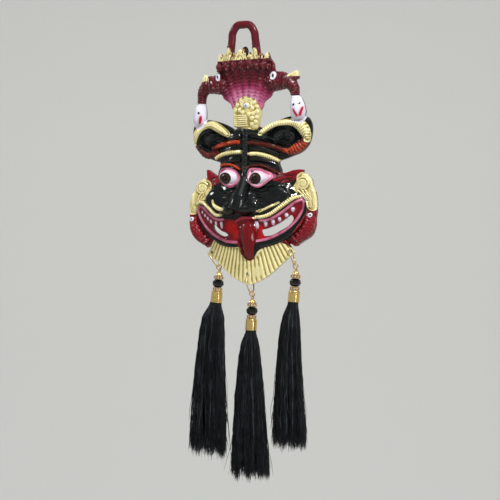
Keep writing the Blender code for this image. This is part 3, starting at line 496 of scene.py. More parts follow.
# Cobra heads: x, size, degrees of lean
COBRAS = ((-21.8, 3.0, -16), (-15.2, 3.5, 12), (-8.6, 3.6, -8), (-2.0, 3.7, 6), (4.6, 3.5, -10),
          (11.0, 3.5, 9), (16.6, 3.1, 14), (20.4, 2.3, 20))
TRUNK = [(15, -42, 0.0, 4.6), (20, -42.4, 2.6, 6.6), (25, -42.6, 4.4, 7.8), (30.5, -42.6, 4.8, 7.2),
         (36.3, -44.2, 4.2, 5.6), (39.8, -49, 4, 4.4), (40.6, -54, 4, 3.7), (41.2, -60, 4, 3.6)]
TOOTH = {
    1: [(36.4, -38.3), (39.7, -36.0), (43.7, -35.4), (44.1, -41.2), (39.6, -42.4), (36.9, -41.4)],
    -1: [(-39.8, -39.3), (-38.6, -36.3), (-36.7, -33.9), (-34.5, -35.7), (-31.7, -39.3), (-36.4, -41.0)],
}
WHITE_HEAD = {
    1: [(41.3, -55.4, 4, 3.6), (41.8, -58.4, 4.2, 5.2), (42.6, -63, 4.4, 6.2), (43.4, -68, 4.6, 6.5),
        (43.8, -71.4, 4.8, 5.4), (43.8, -73.6, 4.8, 3.2)],
    -1: [(-41.3, -57.8, 4, 3.6), (-41.6, -60.6, 4.2, 4.9), (-42.0, -65.2, 4.4, 5.6), (-42.6, -69.8, 4.6, 5.8),
         (-42.2, -72.8, 4.8, 4.8), (-41.7, -74.8, 4.8, 3.0)],
}
SERPENT_EYE = {1: (24.9, -38.5, 2.75, 3.3), -1: (-23.2, -37.1, 1.9, 2.9)}
# Roll that carries the cobra heads, and the roll over a trunk towards its tooth
HEAD_BAND = [(-23.8, -29.6, 8.6, 2.7), (0, -28.6, 9.4, 3.0), (21.4, -30.4, 8.8, 2.5)]
SNOUT = [(35.4, -39.0, 6.6, 1.5), (33.0, -37.4, 7.8, 1.6), (29.6, -36.6, 8.6, 1.4)]
# Heights of a leaf: its back, its front before it thickens with its width, and that thickening
LEAF_BACK = 8.4
LEAF_FRONT = 10.6
LEAF_SWELL = 0.45
# Half a leaf from foot to tip: reach across and share of the height
LEAF_SIDE = ((1.0, 0.0), (1.02, 0.3), (0.78, 0.44), (0.84, 0.62), (0.52, 0.74), (0.50, 0.88), (0.2, 1.0))
TOOTH_BACK = 1.0
TOOTH_FRONT = 6.6


def leaf_outline(foot_x, foot, tip_x, tip, width):
    tall = tip - foot
    lean = tip_x - foot_x
    spots = [(foot_x + lean * share + reach * width, foot + tall * share) for reach, share in LEAF_SIDE]
    return [(2 * (foot_x + lean * (z - foot) / tall) - x, z) for x, z in spots] + spots[::-1]


def crown_forms():
    made = [pellet(*KNOB), rolls([HEAD_BAND])]
    for leaf in LEAVES:
        made.append(plate(leaf_outline(*leaf), LEAF_BACK, LEAF_FRONT + LEAF_SWELL * leaf[4], 0.7))
    for x, size, lean in COBRAS:
        z = -27.4 - 0.006 * x * x - 0.035 * x
        made.append(pellet(x, z, 9.8, size, size * 1.15, size * 1.1, lean))
        made.append(pellet(x + 0.04 * lean, z - size * 0.8, 11.4, size * 0.5, size * 0.55, size * 0.6))
        for eye in SIDES:
            made.append(pellet(x + eye * size * 0.46, z + size * 0.15, 12.4, 0.8, 0.8, 0.8))
    return made


def serpent_forms():
    strokes = [*both_sides(TRUNK), *WHITE_HEAD.values()]
    made = [rolls(strokes, 5)]
    for side in SIDES:
        x, z, _, up = SERPENT_EYE[side]
        made.append(pellet(x, z, 8.2, up * 1.02, up * 1.15, 3.4))
        made += [rolls([on_side(SNOUT, side)]), plate(TOOTH[side], TOOTH_BACK, TOOTH_FRONT, 1.4)]
    return made


forms.append(rolls([LOOP], 5))
forms += crown_forms()
forms += serpent_forms()
print("leaves in the crown:", len(LEAVES))

# %% [markdown]
# ## Crest and horns
#
# Where the hood meets the forehead sits a gilt crest of curls with one small eye. The horns flare out beside
# it: a plate with a raised rim, a dark cushion inside and a ribbed lobe below. Curls are spirals of thin
# rolls, half sunk, because a relief cut by displacement alone would look soft at this size.

# %% Crest and horns
CREST = (0, -67, 5.4, 10.4, 12.4, 4.8)
CREST_OUTLINE = [
    (0, -53.6), (-5, -55.3), (-8.6, -58.7), (-11.2, -62), (-12, -67.4), (-12, -72.2), (-11.6, -77),
    (-5.8, -78.2), (1.5, -78.8), (5.4, -80), (8.5, -79), (9.3, -75.8), (10.2, -71.9), (11.2, -67.2),
    (11.2, -63.5), (9.6, -59.9), (6, -55.9),
]
CREST_TOP = 8.6
CREST_EYE = (0.8, -60.9)
# Curls of the crest: x, z, size, direction, starting degrees
CREST_CURLS = (
    (6.6, -58.8, 1.7, 1, 250), (9.2, -62.2, 1.6, 1, 280), (9.4, -66.4, 1.7, 1, 300),
    (6.0, -63.0, 1.5, -1, 60), (6.2, -67.4, 1.6, 1, 20), (8.9, -70.6, 1.6, 1, 260), (8.0, -74.4, 1.6, 1, 300),
    (5.0, -71.4, 1.6, -1, 90), (4.6, -75.6, 1.6, 1, 40), (2.6, -67.8, 1.4, -1, 200),
    (-4.6, -57.4, 1.6, -1, 110), (-7.6, -60.4, 1.6, -1, 80), (-9.4, -64.4, 1.6, -1, 60),
    (-5.8, -64.4, 1.5, 1, 300), (-2.6, -66.4, 1.5, 1, 260),
)
# Heights of the fine ridges in the crest's lower left, and one ridge as x and its shift in z
CREST_RIDGES = (-68.6, -70.2, -71.8, -73.4, -75.0, -76.6)
CREST_RIDGE = ((-10.8, 0.5), (-7, -0.2), (-3, -0.1), (0.6, -0.2))
HORN_FRONT = 5.0
HORN_OUTLINE = [(9, -83), (17, -77), (27, -72.6), (36, -70.4), (44, -70.4), (50, -72.6), (52.6, -79),
                (52.0, -87), (49.2, -94), (43.4, -99.4), (36, -102.2), (29, -104.4), (20, -106), (9, -100)]
HORN_REACH = {1: 1.02, -1: 0.945}
HORN_RIM = {
    1: [(12.4, -83, 9.0, 1.7), (17.8, -79.4, 7.6, 2.2), (23, -77.2, 6.4, 2.4), (29, -76, 5.8, 2.3),
        (36, -75.9, 5.0, 2.6), (42, -77.5, 4.4, 3.6), (46.4, -80.6, 4.0, 4.8), (48.8, -85, 3.6, 3.8),
        (50.2, -89.4, 3.4, 2.0)],
    -1: [(-17, -83.4, 8.6, 1.5), (-22, -80.2, 7.2, 2.6), (-26.6, -77.2, 6.2, 3.0), (-31.4, -75.2, 5.2, 3.1),
         (-37, -75.8, 4.6, 3.1), (-42.2, -78.6, 4.2, 3.6), (-45.8, -83, 3.8, 3.3), (-47.2, -88, 3.6, 2.0)],
}
HORN_LOBE = {
    1: [(34.6, -98.8, 5.4, 1.7), (38.4, -97.2, 4.6, 3.2), (42.8, -95, 4.0, 3.8), (46.6, -92.2, 3.8, 3.2),
        (49.2, -90, 3.6, 1.8)],
    -1: [(-28.6, -97.6, 5.8, 2.2), (-34.0, -99.2, 4.8, 2.7), (-38.4, -97.8, 4.2, 2.9),
         (-42.2, -94.4, 3.8, 2.4), (-44.6, -91, 3.6, 1.7)],
}
CUSHION = {1: (31.2, -87, 3.4, 15.4, 8.2, 3.8, 4), -1: (-29.4, -87, 3.4, 14.4, 8.0, 3.8, -4)}


def crest_height(x, z):
    """Front of the crest at x, z: its dome, or its plate beside the dome."""
    middle_x, middle_z, h, across, up, out = CREST
    inside = 1 - ((x - middle_x) / across) ** 2 - ((z - middle_z) / up) ** 2
    return max(CREST_TOP, h + out * math.sqrt(max(0.0, inside)))


def curl(x, z, size, way, start, height, radius=0.6, turns=1.5):
    """Spiral roll that winds inwards from its starting degrees."""
    count = int(turns * 10)
    stroke = []
    for step in range(count + 1):
        turn = math.radians(start + way * step * 36)
        reach = size * (1 - 0.86 * step / count)
        px = x + reach * math.sin(turn)
        pz = z + reach * math.cos(turn)
        stroke.append((px, pz, height(px, pz) + radius * 0.35, radius))
    return stroke


def lid_arc(reach, start, end):
    turns = [math.radians(start + (end - start) * step / 8) for step in range(9)]
    arc = [(CREST_EYE[0] + reach * math.sin(turn), CREST_EYE[1] + reach * math.cos(turn)) for turn in turns]
    return [(x, z, crest_height(x, z) + 0.15, 0.55) for x, z in arc]


def crest_forms():
    made = [pellet(*CREST), plate(CREST_OUTLINE, 0.0, CREST_TOP, 2.4), pellet(*CREST_EYE, 9.4, 2.6, 2.6, 1.9)]
    strokes = [lid_arc(3.9, -105, 105), lid_arc(5.5, -85, 85)]
    for x, z, size, way, start in CREST_CURLS:
        made.append(pellet(x, z, crest_height(x, z) - 1.0, size * 1.1, size * 1.1, 1.3))
        strokes.append(curl(x, z, size, way, start, lambda px, pz: crest_height(px, pz) + 0.2, 0.36))
    for z in CREST_RIDGES:
        ridge = [(x, z + shift) for x, shift in CREST_RIDGE]
        strokes.append([(x, level, crest_height(x, level) + 0.15, 0.52) for x, level in ridge])
    made.append(rolls(strokes))
    return made


def horn_forms():
    made = []
    for side in SIDES:
        made.append(plate(on_side(HORN_OUTLINE, side, HORN_REACH[side]), BEHIND, HORN_FRONT, 2.4))
        made.append(pellet(*CUSHION[side]))
    made.append(rolls([*HORN_RIM.values(), *HORN_LOBE.values()], 5))
    return made


forms += crest_forms() + horn_forms()
print("curls on the crest:", len(CREST_CURLS))

# %% [markdown]
# ## Brow bands, eyes and nose
#
# Ribbed bands sweep out from a spine on the forehead, the eyes bulge in thick rims, and the hooked nose hangs
# over the mouth with its wings and a small moustache. The modeller worked by eye, so the two sides differ,
# and each has its own strokes here. The right side comes first.

# %% Brow, eyes and nose
SPINE = [(0, -79, 3.0), (0, -96, 2.8), (0, -112, 2.8), (0, -126, 3.6)]
ORANGE_BAND = (
    [(4, -90.5, 1.6), (12.5, -92, 1.7), (18.5, -93.3, 1.7), (24.5, -95.2, 1.8), (30.1, -97.3, 1.8),
     (35, -98.4, 1.6)],
    [(-7, -89.5, 1.5), (-13.2, -89.8, 1.6), (-19.3, -90.5, 1.6), (-25.8, -91.9, 1.6), (-30.6, -94.0, 1.5)],
)
GOLD_BAND = (
    [(4, -99.5, 1.5), (9.6, -99.7, 1.6), (16, -101.1, 1.6), (21.5, -103.3, 1.6), (27, -106.0, 1.2)],
    [(-4.4, -97.7, 1.5), (-12.4, -97.7, 1.5), (-19, -98.5, 1.5), (-24.2, -99.8, 1.5), (-28.8, -101.7, 1.2)],
)
EYELID = (
    [(2.8, -109.9, 0.9), (9.7, -108.8, 1.0), (14, -109.2, 1.0), (19.4, -111.6, 1.0), (23.5, -113.9, 1.0),
     (26.5, -115.4, 0.8)],
    [(-5, -111.4, 0.8), (-7.7, -109.7, 1.0), (-12.9, -107.6, 1.0), (-19.9, -107.0, 1.0),
     (-23.0, -108.2, 0.8)],
)
BLACK_FOLDS = (
    [(4, -84.5, 2.0), (13, -86.5, 2.0), (24, -90.6, 1.5)],
    [(4, -94.9, 1.6), (14, -95.9, 1.7), (27, -100.6, 1.4)],
    [(4, -103.8, 1.7), (14, -104.4, 1.8), (24, -108.4, 1.4)],
)
# Outer and inner edges of the eye rims
EYE_OUT = (
    [(3.3, -117.1), (3.4, -112.6), (6.9, -110.9), (13.7, -111.5), (19.5, -113.9), (22.8, -115.4),
     (24.6, -118.3), (20.5, -122.4), (15.4, -125.8), (11.7, -126.7), (7.4, -124.8), (4.5, -121.2)],
    [(-24.5, -116.8), (-23.9, -111.9), (-19.1, -109.8), (-12.7, -110.1), (-6.5, -112.8), (-3.2, -116.9),
     (-3.2, -121.3), (-7.4, -125.1), (-11.8, -126.1), (-17.3, -123.9), (-21.7, -120.5)],
)
EYE_IN = (
    [(4.5, -117.2), (5.7, -113.6), (10.2, -113), (15.6, -114), (20.1, -116.5), (22.1, -118.1), (19.3, -121.6),
     (14.7, -124.6), (11.5, -124.9), (7.6, -123.2), (5, -120.3)],
    [(-22.2, -117.3), (-21, -113.3), (-17.3, -111.5), (-12, -111.8), (-6.9, -114.4), (-4.7, -117.6),
     (-5.8, -121.2), (-9.7, -123.4), (-12.7, -123.7), (-16.8, -122)],
)
EYEBALLS = ((13.0, -118.9, 11.6, 9.4, 7.0, 7.8), (-13.4, -117.8, 11.6, 9.4, 7.2, 7.8))
# Irises: x, z, half width, half height
IRISES = ((10.6, -119.3, 5.5, 4.65), (-15.4, -118.3, 5.6, 4.7))
NOSE_HOOK = [(0, -115, 12, 3.4), (-0.4, -126, 17, 5.4), (-1.6, -135, 21.2, 7.0), (-3.0, -141, 23.6, 6.8),
             (-4.2, -144.6, 24.8, 6.2)]
NOSE_WINGS = ((7.6, -141.0, 17.6, 7.6, 6.2, 6.8), (-12.2, -142.6, 17.0, 5.4, 5.6, 5.6))
# The broad middle and foot of the nose, and a cheek on the viewer's right
NOSE_BODY = ((-1, -137, 13.4, 13.5, 11.5, 7.6), (1, -143.0, 19.0, 8.6, 4.6, 7.4))
CHEEK = (21, -134.5, 9.6, 16, 10.5, 6.0)
# Swollen fold and thin crease below each eye, and a wrinkle beside the right one
EYE_BAG = [(7.5, -129.5, 1.1), (15, -131.2, 1.2), (24, -128.0, 1.2), (31, -122.0, 1.0)]
EYE_CREASE = [(9, -132.4, 0.7), (17, -133.6, 0.8), (27, -130.2, 0.8), (34, -124.4, 0.6)]
WRINKLE = [(23, -121.5, 0.8), (29, -119.4, 0.8), (36, -118.6, 0.6)]
EYE_RIM_LIFT = 2.2
EYE_RIM_RADIUS = 1.35
MOUSTACHE = [(12.8, -145.5, 0.8), (16, -144.1, 0.9), (21.1, -141.9, 0.9), (25, -140.4, 0.8),
             (28.9, -138.8, 0.7)]
MOUSTACHE_LEFT = [(-28.2, -135.5, 0.8), (-27.6, -138.7, 1.3), (-24.5, -141.4, 1.7), (-20.5, -142.9, 1.5),
                  (-17.7, -142.6, 0.9)]


def rim_stroke(outer, inner):
    """Middle line of an eye rim: for each inner point, half way to the nearest outer one."""
    line = np.array(smooth_path([*outer, outer[0]]))
    stroke = []
    for x, z in [*inner, inner[0]]:
        near = line[np.argmin(np.hypot(line[:, 0] - x, line[:, 1] - z))]
        px, pz = (near[0] + x) / 2, (near[1] + z) / 2
        stroke.append((px, pz, face_height(px, pz) + EYE_RIM_LIFT, EYE_RIM_RADIUS))
    return stroke


def brow_forms():
    bands = [(ORANGE_BAND, 0.5), (GOLD_BAND, 0.6), (EYELID, 1.4)]
    strokes = [lying(stroke, lift) for pair, lift in bands for stroke in pair]
    for fold in BLACK_FOLDS:
        strokes += both_sides(lying(fold, 0.35))
    return [rolls([lying(SPINE, 0.2), *strokes], 4)]


def eye_forms():
    folds = [*both_sides(lying(EYE_BAG, 0.3)), *both_sides(lying(EYE_CREASE, 0.3)), lying(WRINKLE, 0.4)]
    rims = [rim_stroke(outer, inner) for outer, inner in zip(EYE_OUT, EYE_IN)]
    made = [pellet(*ball) for ball in EYEBALLS]
    made.append(rolls([*rims, *folds], 4))
    return made


def nose_forms():
    made = [rolls([NOSE_HOOK], 5), *[pellet(*body) for body in NOSE_BODY]]
    strokes = [lying(stroke, 0.9) for stroke in (MOUSTACHE, MOUSTACHE_LEFT)]
    for side, wing in zip(SIDES, NOSE_WINGS):
        x, z, h, across, up, _ = wing
        reach = side * across
        made += [pellet(*wing), pellet(side * CHEEK[0], *CHEEK[1:])]
        strokes.append([(x - side, z + up * 0.9, h + 4.4, 0.6), (x + reach * 0.7, z + up * 0.7, h + 2.2, 0.6),
                        (x + reach * 0.95, z, h + 1.4, 0.6), (x + reach * 0.8, z - up * 0.6, h + 1.4, 0.5)])
    made.append(rolls(strokes, 4))
    return made


forms += brow_forms() + eye_forms() + nose_forms()
print("bands and folds:", 2 * (3 + len(BLACK_FOLDS)))

# %% [markdown]
# ## Ears, mouth, tongue and fish
#
# Red ears carry heavy scrolled ornaments. The mouth is a long grin with a gold line, a lip, a row of teeth
# and a jaw band, a tongue hangs out over the chin, and a fish holds the jaw at each side.

# %% Ears, mouth, tongue and fish
EAR_LEAF = (
    [(24, -121), (33, -122.6), (40, -120.5), (46, -113.6), (38, -113.2), (31, -115), (24, -116)],
    [(-24, -121), (-32, -123.4), (-37, -119.5), (-37.6, -110.4), (-33, -112.8), (-28, -116.4), (-23, -119)],
)
ORNAMENT = (
    [(45.1, -115.7), (41.6, -118), (40.6, -123), (38.0, -127), (41.5, -131.6), (46, -135), (49, -138.5),
     (50.6, -144.4), (56, -144.6), (56.4, -137.5), (55.6, -131.9), (53.6, -126.4), (52.4, -121),
     (48.6, -117)],
    [(-40.2, -116.8), (-36, -119.5), (-33.2, -123), (-33.4, -129), (-38.5, -133.8), (-44.6, -136.2),
     (-46, -141), (-48.6, -145), (-53.7, -144.8), (-54.6, -141), (-54.5, -136.5), (-53.1, -132),
     (-49.8, -127.5), (-45, -119.5)],
)
# The black cheek that reaches behind the right ornament
CHEEK_EDGE = [(32, -119), (41, -118), (43.5, -124), (41.5, -131), (36, -134), (33, -127)]
SCROLL = ((45.6, -124.2), (-42.4, -125.0))
LIP_LINE = (
    [(44.1, -134.2, 1.3), (39.1, -135.5, 1.4), (34.3, -138.8, 1.5), (27.5, -143.6, 1.5), (21.8, -147.4, 1.5),
     (15.5, -149.6, 1.4), (8.7, -149.6, 1.3)],
    [(-44.7, -136, 1.2), (-41, -136.6, 1.4), (-37.4, -137.8, 1.5), (-33.2, -141.3, 1.5), (-29, -145, 1.5),
     (-25.2, -147.3, 1.4), (-21.2, -147.2, 1.0)],
)
UPPER_LIP = (
    [(44.9, -136.8, 1.2), (40, -139.0, 1.2), (35.5, -142.6, 1.2), (29.6, -147.0, 1.2), (23.2, -150.8, 1.2),
     (16.7, -152.6, 1.15), (12.4, -152.3, 1.1)],
    [(-43.6, -139.3, 1.0), (-39.1, -141, 1.1), (-33.6, -145.9, 1.2), (-28.6, -149.4, 1.2),
     (-23.4, -150.9, 1.0), (-19.4, -150.8, 0.7)],
)
# The thin red rim that arches over the tongue's root
MOUTH_ARCH = [(-7.4, -153.4, 16.4, 1.0), (-5.3, -151.9, 17.2, 1.2), (-2.4, -150.6, 17.8, 1.3),
              (1.7, -150.0, 18, 1.3), (6.9, -150.4, 17.2, 1.2), (9.6, -151.8, 16.4, 1.0)]
LOWER_LIP = (
    [(45.8, -137.2, 1.0), (46.1, -142.7, 1.0), (43.8, -148.2, 1.05), (40, -153.6, 1.05), (34.4, -158.7, 1.05),
     (29, -162.3, 1.05), (20.8, -165.9, 1.05), (13.6, -167.9, 1.05), (6, -168.8, 1.05)],
    [(-43.8, -139.6, 1.0), (-45, -143.3, 1.0), (-42.2, -150.2, 1.0), (-37.1, -157, 1.05),
     (-30.4, -162.7, 1.05), (-23, -166.5, 1.05), (-15.6, -168.6, 1.05), (-5, -169.4, 1.05)],
)
JAW = (
    [(48.0, -138.4, 1.5), (47.8, -144, 2.0), (44.6, -151.8, 2.4), (39, -158.6, 2.7), (32, -164.2, 2.8),
     (24, -168.4, 2.7), (13, -171, 2.6), (4, -171.6, 2.8)],
    [(-45.8, -141.4, 0.9), (-44.6, -148, 1.3), (-40.6, -155.8, 1.7), (-34, -162.2, 2.0), (-26, -167.4, 2.1),
     (-16, -170.8, 2.2), (-4, -171.6, 2.6)],
)
# Teeth: x and z of the root, x and z of the tip, radius
TEETH = (
    (9.6, -154.3, 9.9, -157.9, 1.5), (17.0, -154.2, 16.8, -156.6, 1.35), (23.0, -153.2, 22.8, -155.6, 1.3),
    (28.1, -151.4, 28.1, -153.0, 1.15), (33.6, -148.4, 33.6, -149.9, 1.3), (38.4, -143.8, 38.2, -145.3, 1.25),
    (-41.3, -144.0, -41.2, -145.0, 0.8), (-38.4, -146.7, -38.2, -147.8, 0.85),
    (-35.4, -149.0, -35.2, -150.6, 0.85), (-32.4, -151.6, -32.2, -153.0, 0.95),
    (-27.4, -153.0, -27.2, -155.0, 0.95), (-22.0, -153.6, -21.8, -157.2, 1.1),
)
TONGUE = [(1.2, -153.0, 9.6, 5.6), (2.0, -158, 11.8, 6.8), (2.6, -165, 13, 7.0), (3.0, -172, 13, 6.2),
          (3.2, -178, 13, 4.6), (3.9, -182.2, 12.6, 2.2)]
TONGUE_ROOT = (1.2, -153.4, 11.4, 7.8, 4.4, 6.4)
CHIN = [(7, -170, 10.5, 4.8), (8.6, -174, 11, 4.6), (7.6, -179, 11.4, 3.4), (5.0, -183.0, 11.6, 1.5)]
FISH_OUTLINE = (
    [(46, -143), (52, -144.4), (56.2, -144.6), (55.4, -151.6), (54.9, -158.4), (51.4, -165.6), (42.8, -170.9),
     (38.1, -173.6), (33.4, -171.1), (28.4, -168.3), (29.3, -165.9), (36, -160), (42, -153)],
    [(-43, -144), (-50, -144.6), (-54.2, -145), (-53.6, -153), (-52.6, -160.2), (-47.0, -166.6),
     (-41.7, -170.8), (-38.6, -172.9), (-35.4, -170.1), (-32.7, -166.1), (-31.1, -164.1), (-35, -160),
     (-40, -154)],
)
FISH_BODY = (
    [(51.4, -147.5, 4.0, 3.4), (51.4, -152, 4.2, 4.2), (50.2, -157.6, 4.4, 4.8), (46.4, -163.6, 4.4, 4.8),
     (39.6, -168.8, 4.2, 3.4)],
    [(-50.2, -148, 4.0, 3.2), (-49.8, -153, 4.2, 3.9), (-48.2, -158.6, 4.4, 4.4), (-44.4, -163.8, 4.4, 4.3),
     (-38.6, -168.6, 4.2, 3.4)],
)
FISH_EYE = ((52.5, -149.2), (-50.7, -149.6))
# Root of the first fin, one fin from its root to its tip, and the step to the next fin
FIN_ROOT = (45.4, -157.8)
FIN = ((0, 0, 6.6, 0.9), (1.8, -2.0, 7.6, 0.8), (4.6, -3.2, 8.0, 0.5))
FIN_STEP = (-3.0, -2.7)
FINS = 4
# Fronts of the ears, ornaments and fish, and the dark swelling between tongue and jaw
EAR_FRONT = 5.0
ORNAMENT_FRONT = 3.8
FISH_FRONT = 4.6
JAW_SWELLING = (-1, -160.5, 9.2, 15.0, 7.4, 6.0)
# Three grooved strands below a scroll, and the step from one to the next
STRANDS = (0, 1.9, 3.8)


def ear_forms():
    made = []
    strokes = []
    for number, side in enumerate(SIDES):
        x, z = SCROLL[number]
        made += [plate(EAR_LEAF[number], BEHIND, EAR_FRONT),
                 plate(ORNAMENT[number], BEHIND, ORNAMENT_FRONT, 1.8)]
        made += [pellet(x, z, 2.0, 6.4, 6.4, 2.8), pellet(side * 50.8, -135.5, 1.6, 3.0, 8.6, 2.8, side * -6)]
        strokes.append(curl(x, z, 5.4, side, side * -60, lambda px, pz: 4.2, 0.5, 2.2))
        strokes.append(curl(side * 51.0, -141.0, 2.2, -side, side * 40, lambda px, pz: 3.6, 0.45, 1.4))
        for shift in STRANDS:
            foot = z + shift * 0.5
            strokes.append([(x - side * (5.8 - shift), foot - 3.4, 3.9, 0.55),
                            (x - side * (1.2 - shift), foot - 8.4, 4.0, 0.6),
                            (x + side * (3.0 + shift * 0.6), z - 13, 4.0, 0.55)])
    made += [rolls(strokes), plate(CHEEK_EDGE, BEHIND, 4.6, 1.6)]
    return made


def tooth_strokes():
    teeth = []
    for x, z, tip_x, tip_z, radius in TEETH:
        h = face_height(x, z) - 0.4
        middle = ((x + tip_x) / 2, (z + tip_z) / 2, h, radius)
        teeth.append([(x, z, h, radius), middle, (tip_x, tip_z, h - 0.3, radius * 0.7)])
    return teeth


def mouth_forms():
    lines = [(LIP_LINE, 0.7), (UPPER_LIP, 0.4), (LOWER_LIP, 0.6), (JAW, 0.2)]
    made = [rolls([lying(stroke, lift) for pair, lift in lines for stroke in pair], 4)]
    made += [rolls(tooth_strokes(), 4), rolls([MOUTH_ARCH]), pellet(*JAW_SWELLING), pellet(*TONGUE_ROOT)]
    return made


def fish_forms():
    made = []
    fins = []
    for number, side in enumerate(SIDES):
        made.append(plate(FISH_OUTLINE[number], BEHIND, FISH_FRONT, 1.8))
        made.append(pellet(*FISH_EYE[number], 7.2, 1.7, 1.7, 1.1))
        for step in range(FINS):
            x = FIN_ROOT[0] + side * 0.8 + FIN_STEP[0] * step
            z = FIN_ROOT[1] + FIN_STEP[1] * step
            fins.append(on_side([(x + right, z + up, h, radius) for right, up, h, radius in FIN], side))
    made.append(rolls([*FISH_BODY, *fins], 5))
    return made


forms += ear_forms() + mouth_forms() + fish_forms()
forms.append(rolls([TONGUE, CHIN], 5))
print("teeth:", len(TEETH))

# %% [markdown]
# ## Fusing, hollowing and drilling
#
# A caster pours one piece, so the overlapping forms are fused by a voxel remesh, which also runs their small
# hollows together. Then the wall plane, the hollow behind the face, the open mouth and the three ring holes
# are cut with Booleans, as a file and a drill would.

# %% Fusing, hollowing and drilling
GRAIN = 0.40
MOUTH_SLOTS = (
    [(14.0, -164.8), (12.8, -160.4), (17, -159.2), (22, -157.4), (27, -155.0), (32, -151.8), (36.4, -148.8),
     (38.4, -150.6), (37.6, -153.6), (33.6, -157.6), (27.4, -161.2), (20.4, -164.4)],
    [(-16.3, -163.6), (-18.4, -161.4), (-21.9, -160.2), (-25.4, -157.6), (-28.6, -154.6), (-30.4, -155.6),
     (-29.4, -159.2), (-25.4, -162.4), (-20.4, -164.4)],
)
HOLES = ((-33.3, -176.5), (0.6, -194.8), (34.9, -177.0))
HOLE_WIDTH = 3.4
DRILL_SIDES = 40
DRILL_LENGTH = 50 * MM
# The hollow behind the face runs over this span of z
SCOOP_FOOT = -172
SCOOP_TALL = 88
# Shallow scoop behind each horn: x, z, half width, half height, depth before the wall is taken off
HORN_SCOOP = (31.5, -87.0, 11.5, 6.6, 8.6)


def form_object(form, name):
    mesh = bpy.data.meshes.new(name)
    form.to_mesh(mesh)
    form.free()
    return put(mesh, name)


def fused(pieces, name):
    whole = bmesh.new()
    for form in pieces:
        mesh = bpy.data.meshes.new("form")
        form.to_mesh(mesh)
        form.free()
        whole.from_mesh(mesh)
        bpy.data.meshes.remove(mesh)
    raw = form_object(whole, "raw")
    remesh = raw.modifiers.new("fuse", "REMESH")
    remesh.mode = "VOXEL"
    remesh.voxel_size = GRAIN * MM
    soften = raw.modifiers.new("soften", "SMOOTH")
    soften.factor = 0.5
    soften.iterations = 2
    mesh = applied(raw)
    bpy.data.objects.remove(raw, do_unlink=True)
    return put(mesh, name)


def block(low, high):
    form = bmesh.new()
    bmesh.ops.create_cube(form, size=1.0)
    size = high - low
    stretch = Matrix.Diagonal((abs(size.x), abs(size.y), abs(size.z), 1.0))
    matrix = Matrix.Translation((low + high) / 2) @ stretch
    bmesh.ops.transform(form, matrix=matrix, verts=form.verts)
    return form


def drill(x, z):
    form = bmesh.new()
    radius = HOLE_WIDTH * MM / 2
    bmesh.ops.create_cone(form, cap_ends=True, segments=DRILL_SIDES, radius1=radius, radius2=radius,
                          depth=DRILL_LENGTH)
    matrix = Matrix.Translation(at(x, z, 10)) @ Matrix.Rotation(math.radians(90), 4, "X")
    bmesh.ops.transform(form, matrix=matrix, verts=form.verts)
    return form


def face_scoop():
    """The hollow behind the face: the face's own dome, one wall thickness further in."""
    def spot(u, v):
        z = SCOOP_FOOT + SCOOP_TALL * (1 + v) / 2
        return u * (station(FACE, z)[0] - RIM_WIDTH), z

    def inner(u, v):
        x, z = spot(u, v)
        return at(x, z, max(0.4, face_height(x, z) - SHELL_WALL))

    def outer(u, v):
        x, z = spot(u, v)
        return at(x, z, BEHIND * 2)

    return sheet_form(40, 60, inner, outer)


def cut(target, tools):
    """Cuts the tools from the target one after the other and removes them."""
    helpers = [form_object(tool, "cutter") for tool in tools]
    for helper in helpers:
        change = target.modifiers.new("cut", "BOOLEAN")
        change.operation = "DIFFERENCE"
        change.solver = "MANIFOLD"
        change.object = helper
    mesh = applied(target)
    target.modifiers.clear()
    target.data = mesh
    for helper in helpers:
        bpy.data.objects.remove(helper, do_unlink=True)


casting = fused(forms, "mask_casting")
tools = [block(at(-90, 40, 0), at(90, -230, BEHIND * 3)), face_scoop()]
scoop_x, scoop_z, scoop_wide, scoop_tall, scoop_deep = HORN_SCOOP
for side in SIDES:
    scoop = (side * HORN_REACH[side] * scoop_x, scoop_z, 0.0, scoop_wide, scoop_tall, scoop_deep - SHELL_WALL,
             side * 4)
    tools.append(pellet(*scoop))
tools += [plate(slot, BEHIND * 2, 40, 0.3) for slot in MOUTH_SLOTS]
tools += [drill(x, z) for x, z in HOLES]
cut(casting, tools)
print("faces of the casting:", len(casting.data.polygons))

# %% [markdown]
# ## Measuring along strokes and outlines
#
# The relief and the paint follow the same strokes and outlines as the forms. For every point of the skin, one
# helper gives the gap to a stroke's edge and how far along the stroke it lies, and another gives the gap to
# an outline. A gap is negative inside, so painted areas can be joined and subtracted like solids.

# %% Gaps and runs
# Gaps are worked out up to this far from a stroke or outline, in mm, and are FAR beyond it
MARGIN = 4.0
FAR = 99.0


def skin_of(mesh):
    """Places (x, z, h in mm) and normals of a mesh's points."""
    count = len(mesh.vertices)
    places = np.empty(count * 3, np.float32)
    normals = np.empty(count * 3, np.float32)
    mesh.vertices.foreach_get("co", places)
    mesh.vertex_normals.foreach_get("vector", normals)
    places = places.reshape(-1, 3).astype(float)
    spots = np.stack([places[:, 0] / MM, places[:, 2] / MM, (WALL_Y - places[:, 1]) / MM], 1)
    return spots, normals.reshape(-1, 3).astype(float)


